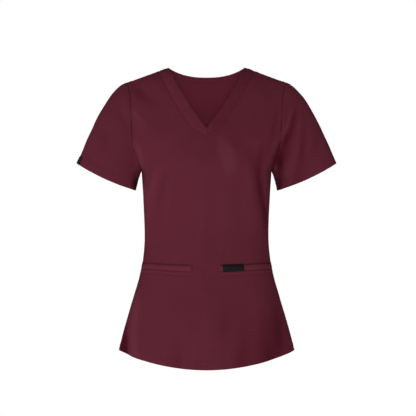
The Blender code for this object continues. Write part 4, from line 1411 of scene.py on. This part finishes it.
def weltGrid(block, columns, side, narrower=welt["narrower"]):
    index, up, top, low, toSide, toInner = weltLines(block, columns, side, narrower)
    shares = stops(front["weltTopZ"] - front["weltLowZ"], step=mesh["weltPieceStep"])[:, None]
    end = np.clip(toInner / welt["endRound"], 0, 1)
    narrow = 1 - welt["endNarrow"] * (1 - np.sqrt(1 - (1 - end) ** 2))
    levels = (top + low) / 2 + (top - low) / 2 * narrow * (2 * shares - 1)
    base = alongColumns(levels, up, frontCloth.outer[index])
    normals = unit(alongColumns(levels, up, frontCloth.normals[index]))
    half = (levels[-1:] - levels[:1]) / 2
    inward = np.minimum(levels - levels[:1], levels[-1:] - levels)
    dome = 1 - (1 - inward / half) ** welt["crownRound"]
    fall = foldedEdge(np.minimum(inward, toInner), welt["thick"])
    height = welt["thick"] + welt["crown"] * dome * smooth(0, welt["crownFrom"], toInner) - fall
    height = height * mixed(welt["pressed"], 1, smooth(0, welt["flatAtSide"], toSide))
    return base, normals, height + patches["gap"]


def makeWelt(node, place):
    base, normals, height = weltGrid(*place)
    under = np.full(height.shape, welt["lift"])
    edges, gone, crown = welt["faceShade"]
    # painted shade at its edges, painted highlight on its crown
    trough = np.clip(edges - height / gone, crown, edges)
    heights = (under + height, under)
    return makePatch(node, base, normals, heights, clothMaterial, "cloth", trough=trough), normals


def makeBag(node, block, columns, side):  # two layers, lying against the inside of the front
    low = int(np.argmin(np.abs(lower - rowOfMiddle(front["bagLowZ"], 0, underarmFront))))
    first, last = (0, front["bagShort"]) if side > 0 else (front["bagShort"], 0)
    columns = slice(columns.start + first, columns.stop - last)
    index = frontCloth.blocks[block][low : weltTopRow + 1, columns][:: bag["every"], :: bag["every"]]
    base, edge = frontCloth.points[index], edgeGap(frontCloth.points[index])
    run, down = lengthsAlong(base, 1), lengthsAlong(base, 0)
    waves = wander(run + down * bag["limpSlant"], bag["seed"], bag["limpPitch"])
    limp = bag["limp"] * waves * smooth(0, bag["limpFrom"], edge) * bag["limpShare"]
    heights = (np.full(index.shape, -bag["gap"]), -(bag["gap"] + bag["thick"] + bag["limp"] + limp))
    values = {"seamGap": edge, "foldGap": 1, "inside": 1}
    makePatch(node, base, frontCloth.normals[index], heights, pocketMaterial, "pocketing", **values)


def makeLabel(node, base, normals, under):
    height = label["thick"] - foldedEdge(edgeGap(base), label["rounding"])
    makePatch(node, base, normals, (under + height, under), blackMaterial, "label")


welts = {name: makeWelt("pocket_welt_" + name, place) for name, place in weltPlaces.items()}
for name, place in weltPlaces.items():
    makeBag("pocket_bag_" + name, *place)

base, normals, height = weltGrid(*weltPlaces["left"], 0.0)
across = slice(leftPlaces[2] - leftPlaces[1], leftPlaces[3] - leftPlaces[1] + 1)
under = height[:, across] + welt["lift"] + label["gap"]
makeLabel("pocket_label", base[:, across], normals[:, across], under)
cuffTop = int(np.argmin(np.abs(turns)))
labelReach = int(np.sum((turns > 0) & (turns < label["reach"])))
cuffRun = toEnd(lengthsAlong(sleeveRight.grid(0), 0), 0)[:, cuffTop]
labelTop = int(np.argmin(np.abs(cuffRun - label["height"])))
index = sleeveRight.blocks[0][labelTop:, cuffTop - labelReach : cuffTop + labelReach + 1]
under = np.full(index.shape, label["gap"])
makeLabel("sleeve_label", sleeveRight.outer[index], sleeveRight.normals[index], under)
print("pockets and labels made")

stitchLook = {  # the names are the node group's inputs
    "Pitch": 0.0030,
    "Stitch": 0.0024,
    "Thread": 0.00024,
    "Arch": 0.0003,
    "Unevenness": 0.06,
}
stitchForm = {"ends": -0.9, "top": 2, "along": 5, "around": 6}  # heights in arches, and how many faces


def stitchTree():
    tree = bpy.data.node_groups.new("stitches", "GeometryNodeTree")
    face = tree.interface
    face.new_socket("Geometry", in_out="INPUT", socket_type="NodeSocketGeometry")
    for name, value in stitchLook.items():
        face.new_socket(name, in_out="INPUT", socket_type="NodeSocketFloat").default_value = value
    face.new_socket("Seed", in_out="INPUT", socket_type="NodeSocketInt").default_value = seeds["stitches"]
    face.new_socket("Material", in_out="INPUT", socket_type="NodeSocketMaterial")
    face.new_socket("Geometry", in_out="OUTPUT", socket_type="NodeSocketGeometry")
    graph = Graph(tree)
    given = tree.nodes.new("NodeGroupInput")
    inputs = [Wire(graph, given.outputs[k]) for k in range(8)]
    start, pitch, stitch, thread, arch, uneven, seed, material = inputs
    path = graph.node("GeometryNodeMeshToCurve", sockets={0: start})
    spaced = graph.node("GeometryNodeResampleCurve", {"mode": "LENGTH"}, {"Curve": path, "Length": pitch})
    run = graph.node("GeometryNodeInputTangent")
    up = graph.node("GeometryNodeInputNamedAttribute", {"data_type": "FLOAT_VECTOR"}, {"Name": "up"})
    facing = graph.node("FunctionNodeAlignRotationToVector", {"axis": "Z"}, {"Vector": up})
    settings = {"axis": "X", "pivot_axis": "Z"}
    facing = graph.node("FunctionNodeAlignRotationToVector", settings, {"Rotation": facing, "Vector": run})
    half = stitch * 0.5
    low = graph.node("ShaderNodeCombineXYZ", sockets={0: half * -1, 2: arch * stitchForm["ends"]})
    high = graph.node("ShaderNodeCombineXYZ", sockets={0: half, 2: arch * stitchForm["ends"]})
    middle = graph.node("ShaderNodeCombineXYZ", sockets={2: arch * stitchForm["top"]})
    ends = {"Resolution": stitchForm["along"], "Start": low, "Middle": middle, "End": high}
    bow = graph.node("GeometryNodeCurveQuadraticBezier", sockets=ends)
    circle = {"Resolution": stitchForm["around"], "Radius": thread}
    ring = graph.node("GeometryNodeCurvePrimitiveCircle", {"mode": "RADIUS"}, circle)
    swept = {"Curve": bow, "Profile Curve": ring, "Fill Caps": True}
    solid = graph.node("GeometryNodeCurveToMesh", sockets=swept)
    spread = {2: 1 - uneven, 3: 1 + uneven, "Seed": seed}
    size = graph.node("FunctionNodeRandomValue", {"data_type": "FLOAT"}, spread, out=1)
    placing = {"Points": spaced, "Instance": solid, "Rotation": facing, "Scale": size}
    placed = graph.node("GeometryNodeInstanceOnPoints", sockets=placing)
    plain = graph.node("GeometryNodeRealizeInstances", sockets={0: placed})
    shaded = graph.node("GeometryNodeSetMaterial", sockets={"Geometry": plain, "Material": material})
    tree.links.new(shaded.socket, tree.nodes.new("NodeGroupOutput").inputs[0])
    return tree


stitching = stitchTree()


def makeStitches(name, lines, **sizes):
    # lines: (points, normals) along each row of stitches
    data = bpy.data.meshes.new(name + "_path")
    points = np.concatenate([p for p, _ in lines])
    starts = np.cumsum([0] + [len(p) for p, _ in lines])
    edges = [(k, k + 1) for s, e in zip(starts, starts[1:]) for k in range(s, e - 1)]
    data.from_pydata(points.tolist(), edges, [])
    ups = np.concatenate([n for _, n in lines]).astype(np.float32)
    data.attributes.new("up", "FLOAT_VECTOR", "POINT").data.foreach_set("vector", ups.ravel())
    path = addObject(name + "_path", data)
    modifier = path.modifiers.new("stitches", "NODES")
    modifier.node_group = stitching
    given = {**stitchLook, **sizes, "Material": stitchMaterial}
    for item in stitching.interface.items_tree:
        if item.in_out == "INPUT" and item.name in given:
            modifier[item.identifier] = given[item.name]
    solid = bpy.data.meshes.new_from_object(path.evaluated_get(bpy.context.evaluated_depsgraph_get()))
    path.modifiers.remove(modifier)
    bpy.data.objects.remove(path)
    solid.name = name
    solid.shade_smooth()
    addPiece(name, solid)
    return len(solid.polygons)


def lineAt(cloth, block, axis, fromEnd, distance):
    # the line on a cloth's outer face at that distance from one end of its rows (axis 1) or columns (axis 0)
    grid, normals = cloth.grid(block, cloth.outer), cloth.grid(block, cloth.normals)
    if axis == 1:
        grid, normals = grid.swapaxes(0, 1), normals.swapaxes(0, 1)
    if fromEnd:
        grid, normals = grid[::-1], normals[::-1]
    run, level = lengthsAlong(grid, 0), np.full((1, grid.shape[1]), distance)
    ups = unit(alongColumns(level, run, normals)[0])
    return alongColumns(level, run, grid)[0] + ups * patches["gap"], ups


def closedLoop(line):
    return [np.concatenate([values, values[:1]]) for values in line]


def armholeLine(wholeBlock, besideBlock, fromEnd, distance):
    whole, beside = (lineAt(frontCloth, b, 1, fromEnd, distance) for b in (wholeBlock, besideBlock))
    return [np.concatenate([w[len(lower) :], b[1:-2]]) for w, b in zip(whole, beside)]  # above the underarm


def weltLine(block, columns, side):  # the row of stitches on the front below a welt
    index, up, _, low, _, toInner = weltLines(block, columns, side)
    level = low - welt["line"][0]
    points = alongColumns(level, up, frontCloth.outer[index])[0]
    ups = unit(alongColumns(level, up, frontCloth.normals[index])[0])
    inward = toInner[0] > welt["endFade"][1]
    return points[inward] + ups[inward] * patches["gap"], ups[inward]


def patchLine(points, normals):  # along a welt's lower edge
    level = np.full((1, points.shape[1]), welt["edgeStitch"])
    return alongColumns(level, lengthsAlong(points, 0), points)[0], normals[len(normals) // 2]


def tackLines(points, normals, side):  # two close rows across a welt's inner end
    across = points.swapaxes(0, 1)
    run = lengthsAlong(across, 0)
    lines = []
    for distance in welt["tacks"]:
        level = np.broadcast_to(distance if side > 0 else run[-1:] - distance, (1, len(points)))
        line = alongColumns(level, run, across)[0]
        kept = slice(welt["tackShort"], -welt["tackShort"])
        lines.append((line[kept], normals[kept, 0 if side > 0 else -1]))
    return lines


rowsAt = {"seam": 0.0020, "shoulder": (0.0018, 0.0064), "binding": 0.0016}  # from each seam
hemRow = hemming["stitch"]
finerThread = {
    "binding_stitches": {"Pitch": 0.0026, "Stitch": 0.0020, "Thread": 0.0002},
    "welt_stitches": {"Pitch": 0.0028, "Stitch": 0.0022, "Thread": 0.00022},
    "welt_tacks": {"Pitch": 0.0011, "Stitch": 0.0010},
}
stitchRows = {
    "neckband_stitches": [
        lineAt(frontCloth, 1, 1, False, rowsAt["seam"]),
        lineAt(frontCloth, 3, 1, True, rowsAt["seam"]),
    ],
    "shoulder_stitches": [lineAt(backCloth, b, 0, True, at) for at in rowsAt["shoulder"] for b in (2, 3)],
    "hem_stitches": [
        *(lineAt(frontCloth, b, 0, False, hemRow) for b in (0, 2)),
        *(lineAt(backCloth, b, 0, False, hemRow) for b in (0, 1)),
    ],
    "cuff_stitches": [closedLoop(lineAt(sleeve, 0, 0, True, hemRow)) for sleeve in (sleeveLeft, sleeveRight)],
    "armhole_stitches": [
        armholeLine(0, 1, True, rowsAt["seam"]),
        armholeLine(2, 3, False, rowsAt["seam"]),
    ],
    "binding_stitches": [
        lineAt(bindingCloth, 0, 1, True, rowsAt["binding"]),
        lineAt(bindingCloth, 1, 1, False, rowsAt["binding"]),
    ],
    "welt_stitches": [
        *(weltLine(*place) for place in weltPlaces.values()),
        *(patchLine(*faces) for faces in welts.values()),
    ],
    "welt_tacks": tackLines(*welts["left"], 1) + tackLines(*welts["right"], -1),
}
count = sum(makeStitches(name, lines, **finerThread.get(name, {})) for name, lines in stitchRows.items())
print("stitches made:", count, "faces")

stage = {
    "cameraPlace": (0.0033, -3.2, -0.3178),
    "frameWidth": 0.940,  # at the garment's middle
    "sensor": 36.0,
    "floorZ": -1.35,
    "floorRadii": (0.4, 3.4),
    "floorRings": 9,
    "floorSides": 96,
    "floorColour": (0.90, 0.90, 0.90, 1),
    "floorLight": (0.93, 0.93, 0.93, 1),
    "floorCloud": (1.6, 2.0),  # scale and detail
    "floorRoughness": 0.7,
    "floorSpecular": 0.2,
    "floorGlow": 0.30,
    "ambient": 0.32,
    "lights": {  # place, power, size
        "key": ((-3.30, -0.30, -0.20), 33.0, 1.0),
        "fill": ((0.0, -3.37, 0.16), 53.0, 1.2),
        "rear": ((0.6, 3.3, 0.8), 74.0, 1.8),
    },
    "aim": (0, 0, -0.33),
}


def addCamera():
    data = bpy.data.cameras.new("camera")
    data.sensor_width = stage["sensor"]
    data.lens = stage["sensor"] * -stage["cameraPlace"][1] / stage["frameWidth"]
    camera = addObject("camera", data)
    camera.location = stage["cameraPlace"]
    camera.rotation_euler = (math.radians(90), 0, 0)
    bpy.context.scene.camera = camera


def addLight(name, place, power, size):
    data = bpy.data.lights.new(name, "AREA")
    data.shape, data.size, data.energy = "DISK", size, power
    light = addObject(name, data)
    light.location = place
    light.rotation_euler = (Vector(stage["aim"]) - Vector(place)).to_track_quat("-Z", "Y").to_euler()


def addWorld():
    world = bpy.data.worlds.new("studio")
    world.use_nodes = True
    bpy.context.scene.world = world
    graph = Graph(world.node_tree)
    background = world.node_tree.nodes["Background"]
    background.inputs["Color"].default_value = (1, 1, 1, 1)
    seen = graph.node("ShaderNodeLightPath", out=0)
    graph.feed(background, {"Strength": stage["ambient"] + seen * (1.0 - stage["ambient"])})


def addFloor():
    around = np.linspace(0, 2 * np.pi, stage["floorSides"], endpoint=False)
    radii = np.linspace(*stage["floorRadii"], stage["floorRings"])
    points = [(r * math.cos(a), r * math.sin(a), stage["floorZ"]) for r in radii for a in around]
    faces = gridFaces((len(radii), len(around)), closed=True)[:, ::-1].tolist()
    data = bpy.data.meshes.new("floor")
    data.from_pydata(points, [], faces + [list(range(len(around)))])
    material, graph, shader = newMaterial("pale floor", stage["floorRoughness"], stage["floorSpecular"])
    cloud = graph.noise(graph.node("ShaderNodeTexCoord", out=3), *stage["floorCloud"])
    graph.feed(shader, {"Base Color": graph.mix(cloud, stage["floorColour"], stage["floorLight"])})
    shader.inputs["Emission Color"].default_value = (1, 1, 1, 1)
    shader.inputs["Emission Strength"].default_value = stage["floorGlow"]
    data.materials.append(material)
    addObject("floor", data)


addCamera()
for name, (place, power, size) in stage["lights"].items():
    addLight(name, place, power, size)
addWorld()
addFloor()
bpy.context.scene.view_settings.view_transform = "Standard"
print("stage ready")
